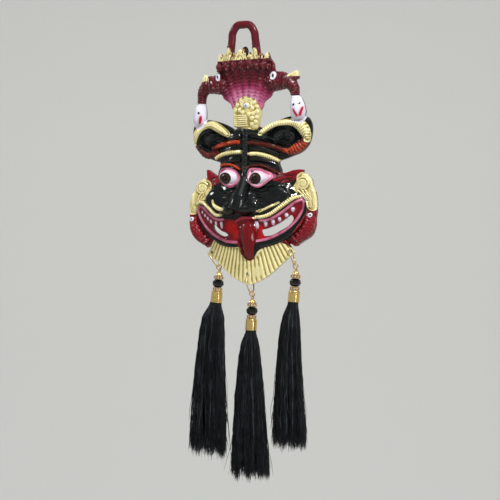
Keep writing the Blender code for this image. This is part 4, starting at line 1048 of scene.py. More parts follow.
def follow(stroke, spots, deep=False):
    """Gap to a stroke's edge and run along it, measured in the wall's plane, or in depth too."""
    path = np.array(smooth_path(stroke))
    columns = 3 if deep else 2
    line = path[:, :columns]
    radius = path[:, -1]
    margin = radius.max() + MARGIN
    places = spots[:, :columns]
    near = np.all((places > line.min(0) - margin) & (places < line.max(0) + margin), axis=1)
    close = places[near]
    best = np.full(len(close), FAR)
    run = np.zeros(len(close))
    done = 0.0
    for a, b, start, end in zip(line, line[1:], radius, radius[1:]):
        step = b - a
        length = np.linalg.norm(step)
        share = np.clip((close - a) @ step / length ** 2, 0, 1)
        gap = np.linalg.norm(close - a - share[:, None] * step, axis=1) - (start + (end - start) * share)
        nearer = gap < best
        best = np.where(nearer, gap, best)
        run = np.where(nearer, done + share * length, run)
        done += length
    gaps = np.full(len(spots), FAR)
    runs = np.zeros(len(spots))
    gaps[near] = best
    runs[near] = run
    return gaps, runs


def enclosed(outline, spots):
    """Gap to a closed outline in the wall's plane, negative inside it."""
    line = np.array(smooth_path([*outline, outline[0]]))[:, :2]
    places = spots[:, :2]
    near = np.all((places > line.min(0) - MARGIN) & (places < line.max(0) + MARGIN), axis=1)
    close = places[near]
    best = np.full(len(close), FAR)
    inside = np.zeros(len(close), bool)
    for a, b in zip(line, line[1:]):
        step = b - a
        share = np.clip((close - a) @ step / max(step @ step, 1e-9), 0, 1)
        best = np.minimum(best, np.linalg.norm(close - a - share[:, None] * step, axis=1))
        if a[1] != b[1]:
            crosses = (a[1] > close[:, 1]) != (b[1] > close[:, 1])
            inside ^= crosses & (close[:, 0] < (b[0] - a[0]) * (close[:, 1] - a[1]) / (b[1] - a[1]) + a[0])
    gaps = np.full(len(spots), FAR)
    gaps[near] = np.where(inside, -best, best)
    return gaps


def ease(low, high, value):
    """0 at low, 1 at high, smooth between. The two may be in either order."""
    share = np.clip((value - low) / (high - low), 0, 1)
    return share * share * (3 - 2 * share)


def spot_gap(x, z, radius, spots):
    return np.hypot(spots[:, 0] - x, spots[:, 1] - z) - radius


def union(*gaps):
    return np.minimum.reduce(gaps)


def within(*gaps):
    return np.maximum.reduce(gaps)


def pebbles(spots, size):
    """Smooth noise from -1 to 1 over the skin, with lumps of about a size in mm."""
    return np.array([noise.noise(Vector(spot)) for spot in (spots / size).tolist()])


spots, normals = skin_of(casting.data)
print("points of the casting:", len(spots))

# %% [markdown]
# ## Relief
#
# Tool marks are raised on the fused skin: scales on the flutes of the hood, stitches on the trunks, ribs on
# the rims and bands, ticks in the horns. Each is a wave along or across a stroke, faded out at its edge, and
# the points move along their normals, so the relief is in the mesh itself.


# %% Relief
def wave(run, pitch):
    return 0.5 + 0.5 * np.cos(2 * math.pi * run / pitch)


NOSE_BEADS = (
    [(-8.9, -130.2), (-12.6, -130.8), (-14.1, -132.7), (-14.1, -136.7)],
    [(-16.8, -138.4), (-14.6, -141.6), (-12.4, -144.6)],
    [(8.8, -131.4), (12.8, -135.2), (15.0, -139.6)],
)
# Length of a scale on the hood and of a stitch on a trunk, in mm
HOOD_SCALE = 2.7
STITCH = 2.2
# Ribs across the bands: strokes, spacing and height in mm
BAND_RIBS = (((*ORANGE_BAND, *EYELID), 1.5, 0.9), ((*GOLD_BAND, LIP_LINE[0]), 1.75, 0.7),
             ((MOUSTACHE,), 1.5, 0.45))
SPINE_RIB = 2.5
# Ticks round a horn's cushion, and ribs round the scroll of an ear ornament
CUSHION_TICKS = 38
SCROLL_RIBS = 30
SCROLL_RADIUS = 6.2
# Rows and columns of the fish scales, in mm
FISH_ROW = 2.1
FISH_COLUMN = 1.9


def hood_half(z):
    """Half width of the hood at each z, straight between its stations."""
    return np.interp(-z, [-row[0] for row in HOOD], [row[1] for row in HOOD])


def hood_scales():
    x, z, _ = spots.T
    radius = np.hypot(x, z - HOOD_ROOT)
    flute = np.degrees(np.arctan2(x, z - HOOD_ROOT)) / FLUTE_TURN
    aside = flute - np.round(flute)
    level = (radius - 1.6 * (2 * aside) ** 2) / HOOD_SCALE
    scale = 1 - (level - np.floor(level))
    width = hood_half(z)
    shown = ease(width, width - 2, np.abs(x)) * ease(-33, -37, z) * ease(-77, -74, z)
    return 0.5 * (scale - 0.5) * shown * ease(0.2, 0.8, spot_gap(0, -66, 12.0, spots))


def trunk_stitches():
    rise = np.zeros(len(spots))
    for stroke in both_sides(TRUNK):
        gap, run = follow(stroke, spots, deep=True)
        shown = ease(0.8, 0.2, gap) * ease(6, 10, run) * ease(41, 37, run)
        here = shown > 0
        broken = ease(-0.35, 0.05, pebbles(spots[here], STITCH))
        rise[here] += 0.8 * (wave(run[here], STITCH) ** 1.5 - 0.4) * shown[here] * broken
    return rise


def crown_marks():
    """Lumps on the cobra heads and upright veins on the leaves."""
    x, z, h = spots.T
    heads = (z > -33) & (z < -24) & (np.abs(x) < 27)
    leaves = (z > -26.5) & (z < -12) & (np.abs(x) < 26) & (h > 9)
    rise = np.zeros(len(spots))
    rise[heads] = 0.5 * pebbles(spots[heads], 1.3)
    rise[leaves] += 0.8 * pebbles(spots[leaves] * np.array([1.0, 0.38, 1.0]), 0.8)
    return rise


def horn_marks():
    rise = np.zeros(len(spots))
    for side in SIDES:
        gap, run = follow(HORN_RIM[side], spots)
        rim = ease(0.6, -0.2, gap) * ease(0, 2, run)
        if side > 0:
            rise += 0.6 * (wave(run, 1.9) - 0.5) * rim
        else:
            rise -= 0.5 * (ease(0.7, 0.1, np.abs(gap + 1.0)) + ease(0.7, 0.1, np.abs(gap + 2.1))) * rim
        gap, run = follow(HORN_LOBE[side], spots)
        rise += 0.8 * (wave(run, 2.3) - 0.5) * ease(0.4, -0.4, gap)
        middle_x, middle_z, _, across, up, _, _ = CUSHION[side]
        x = (spots[:, 0] - middle_x) / across
        z = (spots[:, 1] - middle_z) / up
        ring = np.hypot(x, z)
        turn = np.arctan2(z, x)
        shown = ease(1.0, 0.93, ring) * (np.abs(spots[:, 0]) > 10)
        rise += 1.4 * (wave(turn, 2 * math.pi / CUSHION_TICKS) - 0.5) * shown * ease(0.56, 0.66, ring)
        rise += 1.1 * (wave(ring + 0.06 * np.sin(3 * turn), 0.19) - 0.5) * ease(0.60, 0.50, ring)
    return rise


def band_ribs():
    rise = np.zeros(len(spots))
    for strokes, pitch, height in BAND_RIBS:
        for stroke in strokes:
            gap, run = follow(stroke, spots)
            rise += height * (wave(run, pitch) - 0.5) * ease(0.5, -0.2, gap)
    x, z, _ = spots.T
    spine = ease(3.6, 2.8, np.abs(x)) * ease(-78, -80, z) * ease(-114, -111, z)
    rise += 0.55 * (wave(z + 0.55 * np.abs(x), SPINE_RIB) - 0.5) * spine
    return rise


def ear_combs():
    rise = np.zeros(len(spots))
    for outline, (x, z) in zip(ORNAMENT, SCROLL):
        gap = enclosed(outline, spots)
        low = ease(-128, -131, spots[:, 1])
        rise += 0.34 * (wave(gap, 1.3) - 0.5) * ease(-0.2, -1.0, gap) * low
        shown = ease(0.5, -0.2, gap) * ease(0.2, 0.9, spot_gap(x, z, SCROLL_RADIUS, spots)) * (1 - low)
        turn = np.arctan2(spots[:, 1] - z, spots[:, 0] - x)
        rise += 0.26 * (wave(turn, 2 * math.pi / SCROLL_RIBS) - 0.5) * shown
    return rise


def fish_scales():
    rise = np.zeros(len(spots))
    for stroke in FISH_BODY:
        gap, run = follow(stroke, spots)
        row = np.round(run / FISH_ROW)
        shift = 0.5 * (row % 2)
        column = (gap / FISH_COLUMN + shift) % 1.0 - 0.5
        scale = np.clip(1 - np.hypot((run / FISH_ROW - row) * 1.3, column * 1.6), 0, 1)
        rise += 0.4 * scale * ease(2.4, 0.6, gap) * ease(1.5, 3.5, run)
    return rise


def iris_reach(spots):
    """1 on the edge of the nearer iris, less inside it."""
    x, z, _ = spots.T
    return union(*[np.hypot((x - middle_x) / wide, (z - middle_z) / tall)
                   for middle_x, middle_z, wide, tall in IRISES])


def small_marks():
    x, z, h = spots.T
    tongue_groove = ease(1.3, 0.0, np.abs(x - 3.0)) * ease(-154, -158, z) * ease(-181, -176, z)
    rise = -0.3 * tongue_groove * (h > 10)
    rise += 0.28 * ease(1.08, 0.98, iris_reach(spots)) * (h > 10)
    for bead_line in NOSE_BEADS:
        gap, run = follow([(x, z, 0.5) for x, z in bead_line], spots)
        rise += 0.5 * wave(run, 1.4) * ease(0.4, -0.2, gap) * (h > 8)
    return rise


front = ease(-0.1, 0.35, -normals[:, 1])
rise = (hood_scales() + crown_marks() + horn_marks() + band_ribs() + ear_combs() + fish_scales()
        + small_marks()) * front
rise += trunk_stitches() * ease(-0.4, 0.1, -normals[:, 1])
rise += 0.06 * pebbles(spots, 5.0) + 0.055 * pebbles(spots, 1.3)
placed = np.stack([spots[:, 0] * MM, WALL_Y - spots[:, 2] * MM, spots[:, 1] * MM], 1)
placed += normals * rise[:, None] * MM
flat_back = spots[:, 2] < 0.05
placed[flat_back, 1] = WALL_Y
casting.data.vertices.foreach_set("co", placed.astype(np.float32).ravel())
casting.data.update()
print("relief from", round(float(rise.min()), 2), "to", round(float(rise.max()), 2), "mm")

# %% [markdown]
# ## Lightening the mesh
#
# The remesh gives every place the same fineness. Nobody looks closely at the hollow back, so its faces are
# merged first, and then the whole casting is brought under the size that a piece may have. The Decimate
# modifier keeps points where the skin bends, so the relief survives.

# %% Lightening
MASK_TRIANGLES = 190000
REAR_SHARE = 0.16


def triangles(mesh):
    return sum(len(face.vertices) - 2 for face in mesh.polygons)


def lightened(target, ratio, group=None):
    change = target.modifiers.new("lighten", "DECIMATE")
    change.ratio = ratio
    if group:
        change.vertex_group = group
    mesh = applied(target)
    target.modifiers.clear()
    target.data = mesh


spots, normals = skin_of(casting.data)
rear = (normals[:, 1] > 0.3) | (spots[:, 2] < 2.5)
rear_group = casting.vertex_groups.new(name="rear")
rear_group.add(np.nonzero(rear)[0].tolist(), 1.0, "REPLACE")
full = triangles(casting.data)
rear_faces = full * float(rear.mean())
lightened(casting, (full - rear_faces * (1 - REAR_SHARE)) / full, "rear")
casting.vertex_groups.clear()
half_way = triangles(casting.data)
lightened(casting, min(1.0, MASK_TRIANGLES / half_way))
casting.data.shade_smooth()
casting.data.set_sharp_from_angle(angle=math.radians(55))
print("triangles:", full, "then", half_way, "then", triangles(casting.data))

# %% [markdown]
# ## Laying out the paint
#
# The painter filled areas by hand, so the borders wander a little. Each paint is stored as a gap in
# millimetres at every point, negative where the brush went. A gap varies smoothly, so a border stays sharp
# when the shader cuts it, even across a large triangle.

# %% Paint areas
spots, normals = skin_of(casting.data)
x_all, z_all, h_all = spots.T
facing = -normals[:, 1]


def gaps_to(strokes, grow=0.0):
    return union(*[follow(stroke, spots)[0] for stroke in strokes]) - grow


def areas(outlines, grow=0.0):
    return union(*[enclosed(outline, spots) for outline in outlines]) - grow


def dots_gap(dots):
    """Gap to the nearest of several dots of (x, z, half width, half height)."""
    return union(*[(np.hypot((x_all - x) / wide, (z_all - z) / tall) - 1) * min(wide, tall)
                   for x, z, wide, tall in dots])


HORN_INSIDE = (
    [(13.3, -85.2), (18.5, -81.4), (22.4, -79.6), (26.6, -78.1), (31.7, -77.8), (37.3, -78.4), (40.2, -79.9),
     (43.1, -82.4), (45.2, -85.3), (46.8, -88.6), (44.6, -88.4), (42.3, -90.7), (39.6, -92.5), (36.7, -94.4),
     (34, -96), (26, -92.8), (15, -89.6)],
    [(-17, -86), (-24.9, -81.6), (-30.2, -78.4), (-33.7, -77.3), (-38.2, -78.1), (-42.1, -81.2),
     (-44.6, -84.7), (-46.4, -89.6), (-44, -92), (-41.1, -94.3), (-38.4, -95.6), (-34.7, -96.6), (-32, -94.2),
     (-25.8, -89.8), (-19.3, -88.4)],
)
# Everything above the beard: down one edge of the jaw, round the tongue and chin and up the other
FACE_FOOT = [
    (-46, -139.2), (-46.3, -144.9), (-44.4, -152.2), (-39.5, -159.1), (-32.7, -165.3), (-26.8, -169.6),
    (-20.8, -172.1), (-12.7, -173.2), (-6.0, -173.4), (-5.0, -177.8), (-1.4, -182.3), (2, -184.1),
    (4.8, -183.6), (7.9, -180.2), (10.5, -176.4), (14.6, -174.2), (19.9, -172.9), (25.2, -171.3),
    (30, -168.8), (33.1, -167.2), (38.1, -161.8), (44, -154.4), (48.1, -147.5), (49.9, -142), (48.8, -137.3),
    (0, -134),
]
mouth_round = (*UPPER_LIP[0], *UPPER_LIP[1][::-1], *LOWER_LIP[1][1:], *LOWER_LIP[0][::-1][:-1])
MOUTH_INSIDE = [point[:2] for point in mouth_round]
TONGUE_EDGE = [
    (-6.6, -153.2), (-6.0, -159.6), (-7.0, -167.5), (-7.2, -172.3), (-5.8, -177.0), (-2.2, -181.9),
    (2.6, -184.4), (5.6, -182.6), (7.0, -177.2), (8.0, -172.5), (9.4, -166.2), (10.3, -161.5), (9.6, -156.8),
    (8.2, -151.6), (1.7, -150.6), (-4.6, -151.8),
]
# Curved leftovers of bright red beside the tongue: x, z, half width, half height
RED_LINING = ((-12.5, -157.4, 5.4, 4.8), (-9.0, -162.4, 3.6, 3.8), (11.6, -160.4, 3.6, 4.6),
              (12.4, -165.0, 3.0, 2.4))
# Red strokes of the white heads' mouths, and the black dots of all small eyes
MOUTH_STROKES = (
    [(-39.6, -67.4, 0.6), (-40.0, -69.6, 1.1), (-40.9, -73.0, 0.7)],
    [(41.2, -65.8, 0.6), (42.4, -68.2, 0.9), (44.0, -70.8, 0.9)],
    [(48.2, -64.6, 0.6), (47.6, -67, 0.8), (46.4, -70.4, 0.9)],
)
PUPILS = (
    (24.9, -38.5, 0.9, 1.6), (-23.1, -37.1, 0.65, 1.4), (*CREST_EYE, 0.6, 0.6), (52.7, -149.2, 0.8, 0.8),
    (-50.6, -149.6, 0.7, 0.7), (-41.4, -64.8, 1.1, 1.1), (-45.4, -66.7, 0.6, 0.9), (41.3, -62.3, 1.1, 1.2),
    (45.9, -61.2, 0.9, 0.9),
)
# The black knob in the crown with its orange front and a gold streak: x, z, half width, half height
KNOB_BLACK = (*KNOB[:2], 3.6, 5.6)
KNOB_ORANGE = (-0.6, -18.4, 2.6, 4.8)
KNOB_STREAK = [(-1.9, -16.6, 0.4), (-1.6, -18.4, 0.7), (-1.2, -20.6, 0.6)]
horn_plate = union(*[enclosed(on_side(HORN_OUTLINE, side, HORN_REACH[side]), spots) for side in SIDES])
crest = areas([CREST_OUTLINE])
fish = areas(FISH_OUTLINE, 1.0)
face_foot = areas([FACE_FOOT])
tongue = areas([TONGUE_EDGE])
paint = {}
paint["maroon"] = union(within(np.abs(x_all) - 30, -50 - z_all),
                        within(np.abs(x_all) - hood_half(z_all) - 2, -78 - z_all),
                        gaps_to(both_sides(TRUNK), 1.5), areas(TOOTH.values(), 1.5))
knob = within(dots_gap([KNOB_BLACK]), -24 - z_all, h_all - 12.2, 4.6 - h_all)
paint["maroon"] = within(paint["maroon"], -knob)
# Where pale flecks go on the ridges: partly a dry brush, partly painted highlights
paint["flecks_and_highlights"] = union(within(np.abs(x_all) - 26, z_all + 24.5, -35 - z_all),
                         gaps_to(both_sides(TRUNK), 1.5), fish)
paint["crimson"] = union(fish, areas(EAR_LEAF, 0.6))
paint["mouth"] = within(areas([MOUTH_INSIDE]), -fish, np.where(z_all > -149.4, h_all - 15.5, -FAR))
paint["black_under"] = within(union(gaps_to(JAW, 0.9), gaps_to([CHIN], 1.5)), face_foot)
paint["red"] = within(dots_gap(RED_LINING), -tongue)
paint["tongue"] = within(tongue, z_all + 151.2)
paint["arch"] = follow(MOUTH_ARCH, spots, deep=True)[0] - 0.15
paint["orange"] = union(within(gaps_to(HORN_LOBE.values(), 0.5), -areas(HORN_INSIDE), horn_plate - 1),
                        gaps_to(ORANGE_BAND, 0.1), gaps_to(EYELID, 0.1),
                        within(dots_gap([KNOB_ORANGE]), 9.6 - h_all, 15 + z_all))
paint["pink"] = union(within(areas(EYE_OUT), -areas(EYE_IN)),
                      within(gaps_to([*UPPER_LIP, *LOWER_LIP]), -tongue))


def gold_areas():
    leaves = within(areas([leaf_outline(*leaf) for leaf in LEAVES], 0.5), -24.6 - z_all, 9.2 - h_all,
                    0.35 - facing, normals[:, 0] - 0.45, 10.6 - h_all)
    teeth = within(areas(TOOTH.values(), 0.5), -39.6 - z_all)
    rims = within(gaps_to(HORN_RIM.values(), 0.6), -areas(HORN_INSIDE), horn_plate - 2, 0.1 - facing)
    streak = within(gaps_to([KNOB_STREAK]), 9.6 - h_all)
    beard = within(np.hypot(x_all, z_all - BEARD_ROOT) - 100, -face_foot, -fish + 0.6, z_all + 160)
    thin = gaps_to([*GOLD_BAND, *LIP_LINE, MOUSTACHE, MOUSTACHE_LEFT], 0.1)
    ornament = within(areas(ORNAMENT, 0.6), -0.2 - facing)
    curls = within(crest - 0.3, union(0.1 - facing, 0.3 - normals[:, 0]))
    return union(curls, rims, leaves, teeth, streak, beard, ornament, within(thin, -facing))


paint["gold"] = gold_areas()
heads = []
for side in SIDES:
    top = WHITE_HEAD[side][0][1] + 0.4
    heads.append(within(follow(WHITE_HEAD[side], spots, deep=True)[0] - 0.6, z_all - top))
teeth = gaps_to(tooth_strokes())
serpent_eyes = [SERPENT_EYE[side] for side in SIDES]
fish_rings = [(x, z, 1.8, 1.8) for x, z in FISH_EYE]
in_eyes = areas(EYE_IN)
paint["white"] = union(*heads, in_eyes, teeth, dots_gap([*serpent_eyes, *fish_rings, (*CREST_EYE, 2.2, 2.2)]))
reach = iris_reach(spots)
paint["iris"] = within((reach - 1) * 5, in_eyes - 0.3)
paint["lips"] = gaps_to(MOUTH_STROKES)
paint["dots"] = dots_gap(PUPILS)
paint["wash"] = union(within(in_eyes, -in_eyes - 1.5), gaps_to(MOUTH_STROKES, 0.7),
                      within(teeth, -teeth - 0.3))
for name in ("white", "iris", "dots", "lips", "pink", "wash"):
    paint[name] = within(paint[name], 0.05 - facing)
fan = np.degrees(np.arctan2(np.abs(x_all), z_all - HOOD_ROOT))
blush = ease(53, 26, np.hypot(x_all, z_all - HOOD_ROOT)) * (1 - 0.35 * ease(12, 26, fan))
ember = np.where(x_all > 0, 0.1 + 0.7 * ease(28, 35, x_all), ease(-31, -22, x_all))
lobe_glow = np.where(x_all > 0, ease(-90, -95, z_all), 0.2)
ember = np.where((np.abs(x_all) > 33) & (z_all < -86), lobe_glow, ember)
ember = np.where(z_all > -30, 0.0, ember)
ember = np.where((z_all < -105) & (x_all < 0), 0.9, ember)
print("painted areas:", ", ".join(paint))

# %% [markdown]
# ## Hollows and edges
#
# Painted shade darkens the hollows and painted highlights lighten the raised edges, dust gathers in the wide
# hollows, and the edges of the bare back are rubbed bright. How hollow a place is comes from the mesh itself:
# the average of a point's neighbours lies above the skin in a hollow and below it on an edge.

# %% Hollows and edges
def hollowness(mesh, rounds):
    """Depth of hollows in mm, with edges negative, spread over a few neighbours."""
    places, normal = skin_of(mesh)
    points = np.stack([places[:, 0], WALL_Y / MM - places[:, 2], places[:, 1]], 1)
    ends = np.empty(len(mesh.edges) * 2, np.int32)
    mesh.edges.foreach_get("vertices", ends)
    a, b = ends.reshape(-1, 2).T
    valence = np.bincount(a, minlength=len(points)) + np.bincount(b, minlength=len(points))

    def neighbours(values):
        total = np.bincount(a, values[b], len(values)) + np.bincount(b, values[a], len(values))
        return total / valence

    smooth = points
    for _ in range(rounds):
        smooth = np.stack([neighbours(smooth[:, axis]) for axis in range(3)], 1)
    depth = np.sum((smooth - points) * normal, axis=1)
    return neighbours(depth)


def keep_attribute(mesh, name, values):
    field = mesh.attributes.new(name, "FLOAT", "POINT")
    field.data.foreach_set("value", values.astype(np.float32))


hollow_small = hollowness(casting.data, 3)
hollow_wide = hollowness(casting.data, 14)
keep_attribute(casting.data, "hollow_small", hollow_small)
keep_attribute(casting.data, "hollow_wide", hollow_wide)
for name, gap in paint.items():
    keep_attribute(casting.data, "paint_" + name, np.clip(gap, -9, 9))
keep_attribute(casting.data, "rear", ease(0.2, 0.55, normals[:, 1]))
keep_attribute(casting.data, "blush", blush)
keep_attribute(casting.data, "ember", ember)
keep_attribute(casting.data, "iris_reach", np.clip(reach, 0, 2))
print("hollows to", round(float(np.percentile(hollow_small, 98)), 3), "mm, edges to",
      round(float(np.percentile(hollow_small, 2)), 3), "mm")

# %% [markdown]
# ## Shared shader groups
#
# The effects that several finishes share are node groups with named inputs: a wandering brush border, dust in
# hollows, tinted raised edges (rubbed bare on the back; partly a dry brush and partly painted highlights on
# the front), uneven gloss and a fine grain. Each finish places them with its own values.


# %% Shared shader groups
def colour(red, green, blue):
    """Linear colour from the 0 to 255 values of a colour picker."""
    def linear(value):
        share = value / 255
        return share / 12.92 if share <= 0.04045 else ((share + 0.055) / 1.055) ** 2.4

    return (linear(red), linear(green), linear(blue), 1.0)


class Group:
    """A shader node group in the making: named sockets, and nodes wired by their names."""

    def __init__(self, name, inputs, outputs):
        self.tree = bpy.data.node_groups.new(name, "ShaderNodeTree")
        for label, kind, value in inputs:
            socket = self.tree.interface.new_socket(label, in_out="INPUT", socket_type=kind)
            socket.default_value = value
        for label, kind in outputs:
            self.tree.interface.new_socket(label, in_out="OUTPUT", socket_type=kind)
        self.source = self.tree.nodes.new("NodeGroupInput")
        self.sink = self.tree.nodes.new("NodeGroupOutput")

    def given(self, label):
        return self.source.outputs[label]

    def give(self, label, value):
        wire(self.tree, value, self.sink.inputs[label])


def wire(tree, value, socket):
    """Sets a socket to a number or colour, or links another socket to it."""
    if isinstance(value, bpy.types.NodeSocket):
        tree.links.new(value, socket)
    else:
        socket.default_value = value


def node(tree, kind, inputs=None, **settings):
    made = tree.nodes.new(kind)
    for name, value in settings.items():
        setattr(made, name, value)
    for name, value in (inputs or {}).items():
        wire(tree, value, made.inputs[name])
    return made


def maths(tree, operation, a, b, clamp=False):
    made = tree.nodes.new("ShaderNodeMath")
    made.operation = operation
    made.use_clamp = clamp
    wire(tree, a, made.inputs[0])
    wire(tree, b, made.inputs[1])
    return made.outputs[0]


def times(tree, a, b, clamp=False):
    return maths(tree, "MULTIPLY", a, b, clamp)


def plus(tree, a, b, clamp=False):
    return maths(tree, "ADD", a, b, clamp)


def less(tree, a, b):
    return maths(tree, "SUBTRACT", a, b)


def blended(tree, factor, first, second):
    made = tree.nodes.new("ShaderNodeMix")
    made.data_type = "RGBA"
    wire(tree, factor, made.inputs["Factor"])
    wire(tree, first, made.inputs[6])
    wire(tree, second, made.inputs[7])
    return made.outputs[2]


def smooth_step(tree, value, low, high):
    made = node(tree, "ShaderNodeMapRange", {"Value": value, "From Min": low, "From Max": high},
                interpolation_type="SMOOTHSTEP")
    return made.outputs["Result"]


def grain_of(tree, scale, detail=3.0, roughness=0.5):
    """Noise over the object's own space."""
    where = node(tree, "ShaderNodeTexCoord")
    made = node(tree, "ShaderNodeTexNoise",
                {"Vector": where.outputs["Object"], "Scale": scale, "Detail": detail, "Roughness": roughness})
    return made.outputs["Fac"]


FLOAT = "NodeSocketFloat"
COLOUR = "NodeSocketColor"


def brush_border_group():
    group = Group("brush_border", [("Gap", FLOAT, 0.0), ("Wander", FLOAT, 0.25), ("Softness", FLOAT, 0.07)],
                  [("Mask", FLOAT)])
    tree = group.tree
    sway = less(tree, grain_of(tree, 420.0, 2.0), 0.5)
    moved = plus(tree, group.given("Gap"), times(tree, sway, group.given("Wander")))
    soft = group.given("Softness")
    group.give("Mask", smooth_step(tree, moved, soft, times(tree, soft, -1.0)))
    return tree


def settled_dust_group():
    group = Group("settled_dust", [("Colour", COLOUR, (0, 0, 0, 1)), ("Hollow", FLOAT, 0.0),
                                   ("Dust", COLOUR, (0.3, 0.25, 0.2, 1)), ("Amount", FLOAT, 0.5),
                                   ("Depth", FLOAT, 0.08)],
                  [("Colour", COLOUR), ("Mask", FLOAT)])
    tree = group.tree
    patchy = smooth_step(tree, grain_of(tree, 260.0, 4.0, 0.6), 0.3, 0.7)
    depth = smooth_step(tree, group.given("Hollow"), 0.005, group.given("Depth"))
    mask = times(tree, times(tree, depth, patchy), group.given("Amount"), True)
    group.give("Colour", blended(tree, mask, group.given("Colour"), group.given("Dust")))
    group.give("Mask", mask)
    return tree


# Tints raised edges: bare metal rubbed through on the back, and on the front pale flecks that are partly a
# dry brush and partly painted highlights
def edges_rubbed_and_highlit_group():
    group = Group("edges_rubbed_and_highlit", [("Colour", COLOUR, (0, 0, 0, 1)), ("Hollow", FLOAT, 0.0),
                                   ("Bare", COLOUR, (0.7, 0.5, 0.2, 1)), ("Amount", FLOAT, 0.3),
                                   ("Sharpness", FLOAT, 0.1)],
                  [("Colour", COLOUR)])
    tree = group.tree
    patchy = smooth_step(tree, grain_of(tree, 520.0, 5.0, 0.7), 0.48, 0.66)
    edge = smooth_step(tree, times(tree, group.given("Hollow"), -1.0), 0.02, group.given("Sharpness"))
    mask = times(tree, times(tree, edge, patchy), group.given("Amount"), True)
    group.give("Colour", blended(tree, mask, group.given("Colour"), group.given("Bare")))
    return tree


def uneven_gloss_group():
    group = Group("uneven_gloss",
                  [("Roughness", FLOAT, 0.2), ("Spread", FLOAT, 0.1), ("Scale", FLOAT, 180.0)],
                  [("Roughness", FLOAT)])
    tree = group.tree
    patches = less(tree, grain_of(tree, group.given("Scale"), 4.0, 0.6), 0.5)
    swing = times(tree, patches, group.given("Spread"))
    group.give("Roughness", plus(tree, group.given("Roughness"), swing, True))
    return tree


def fine_grain_group():
    group = Group("fine_grain", [("Fine", FLOAT, 2500.0), ("Coarse", FLOAT, 500.0), ("Balance", FLOAT, 0.5)],
                  [("Height", FLOAT)])
    tree = group.tree
    fine = grain_of(tree, group.given("Fine"), 2.0)
    coarse = grain_of(tree, group.given("Coarse"), 3.0)
    mixed = node(tree, "ShaderNodeMix", {"Factor": group.given("Balance"), 2: fine, 3: coarse})
    group.give("Height", mixed.outputs[0])
    return tree


GROUPS = {
    "border": brush_border_group(), "dust": settled_dust_group(), "edge_tint": edges_rubbed_and_highlit_group(),
    "gloss": uneven_gloss_group(), "grain": fine_grain_group(),
}


def placed_group(tree, name, **inputs):
    made = tree.nodes.new("ShaderNodeGroup")
    made.node_tree = GROUPS[name]
    for label, value in inputs.items():
        wire(tree, value, made.inputs[label])
    return made


def field(tree, name):
    return node(tree, "ShaderNodeAttribute", attribute_name=name).outputs["Fac"]


def finish(name):
    """A new material, its node tree and its shader."""
    made = bpy.data.materials.new(name)
    made.use_nodes = True
    return made, made.node_tree, made.node_tree.nodes["Principled BSDF"]


def bumped(tree, shader, height, strength, distance):
    bump = node(tree, "ShaderNodeBump", {"Height": height, "Strength": strength, "Distance": distance})
    wire(tree, bump.outputs["Normal"], shader.inputs["Normal"])


print("groups:", ", ".join(GROUPS))

# %% [markdown]
# ## The painted finish of the casting
#
# The shader lays the paints over black enamel in the painter's order: maroon and its pink bloom, crimson,
# orange, pink, gold, white, and last the dots and strokes. Pale flecks on the maroon ridges are partly a dry
# brush and partly painted highlights. Gold paint is a little metallic and duller than the enamel, with
# painted shade that makes it olive in its hollows and painted highlights that make it creamy on its ridges.
# The maroon, crimson and orange are painted darker in their hollows too, as painted shade.

# %% Painted casting
# Paints, as values of a colour picker, with the painted shades and highlights that some of them get
BLACK = colour(12, 17, 17)
MAROON = colour(92, 18, 30)
# Painted shade for the hood's hollows
MAROON_SHADE = colour(38, 6, 12)
MAGENTA = colour(150, 48, 86)
BLOOM = colour(196, 112, 148)
BLOOM_PALE = colour(222, 168, 192)
# Pale flecks, partly a dry brush and partly painted highlights
FLECK_AND_HIGHLIGHT = colour(204, 140, 138)
CRIMSON = colour(134, 14, 30)
# Painted shade for the crimson's hollows
CRIMSON_SHADE = colour(78, 7, 14)
MOUTH_RED = colour(118, 10, 22)
TONGUE_RED = colour(112, 8, 17)
# The arch is painted red, and paler than the mouth as a painted highlight along its rim
ARCH_RED = colour(168, 44, 62)
RED = colour(188, 8, 8)
ORANGE = colour(184, 66, 34)
# Deep orange: the darker end of the bands' own tone, and painted shade in their hollows
ORANGE_DEEP = colour(80, 28, 20)
LIP_PINK = colour(206, 122, 150)
LIP_DULL = colour(158, 70, 98)
GOLD = colour(222, 202, 126)
# Painted highlight for the gold's ridges, then painted shade for its hollows
GOLD_HIGHLIGHT = colour(246, 236, 178)
GOLD_SHADE = colour(164, 144, 80)
WHITE = colour(224, 223, 236)
WASH = colour(216, 150, 176)
IRIS_BROWN = colour(54, 32, 21)
STROKE_RED = colour(170, 24, 44)
RAW_BRASS = colour(150, 116, 62)
PUPIL = colour(10, 8, 8)
IRIS_EDGE = colour(12, 8, 8)
IRIS_HEART = colour(74, 64, 40)
DUST = colour(52, 44, 38)
TARNISH = colour(44, 36, 28)
TARNISH_PALE = colour(92, 72, 44)


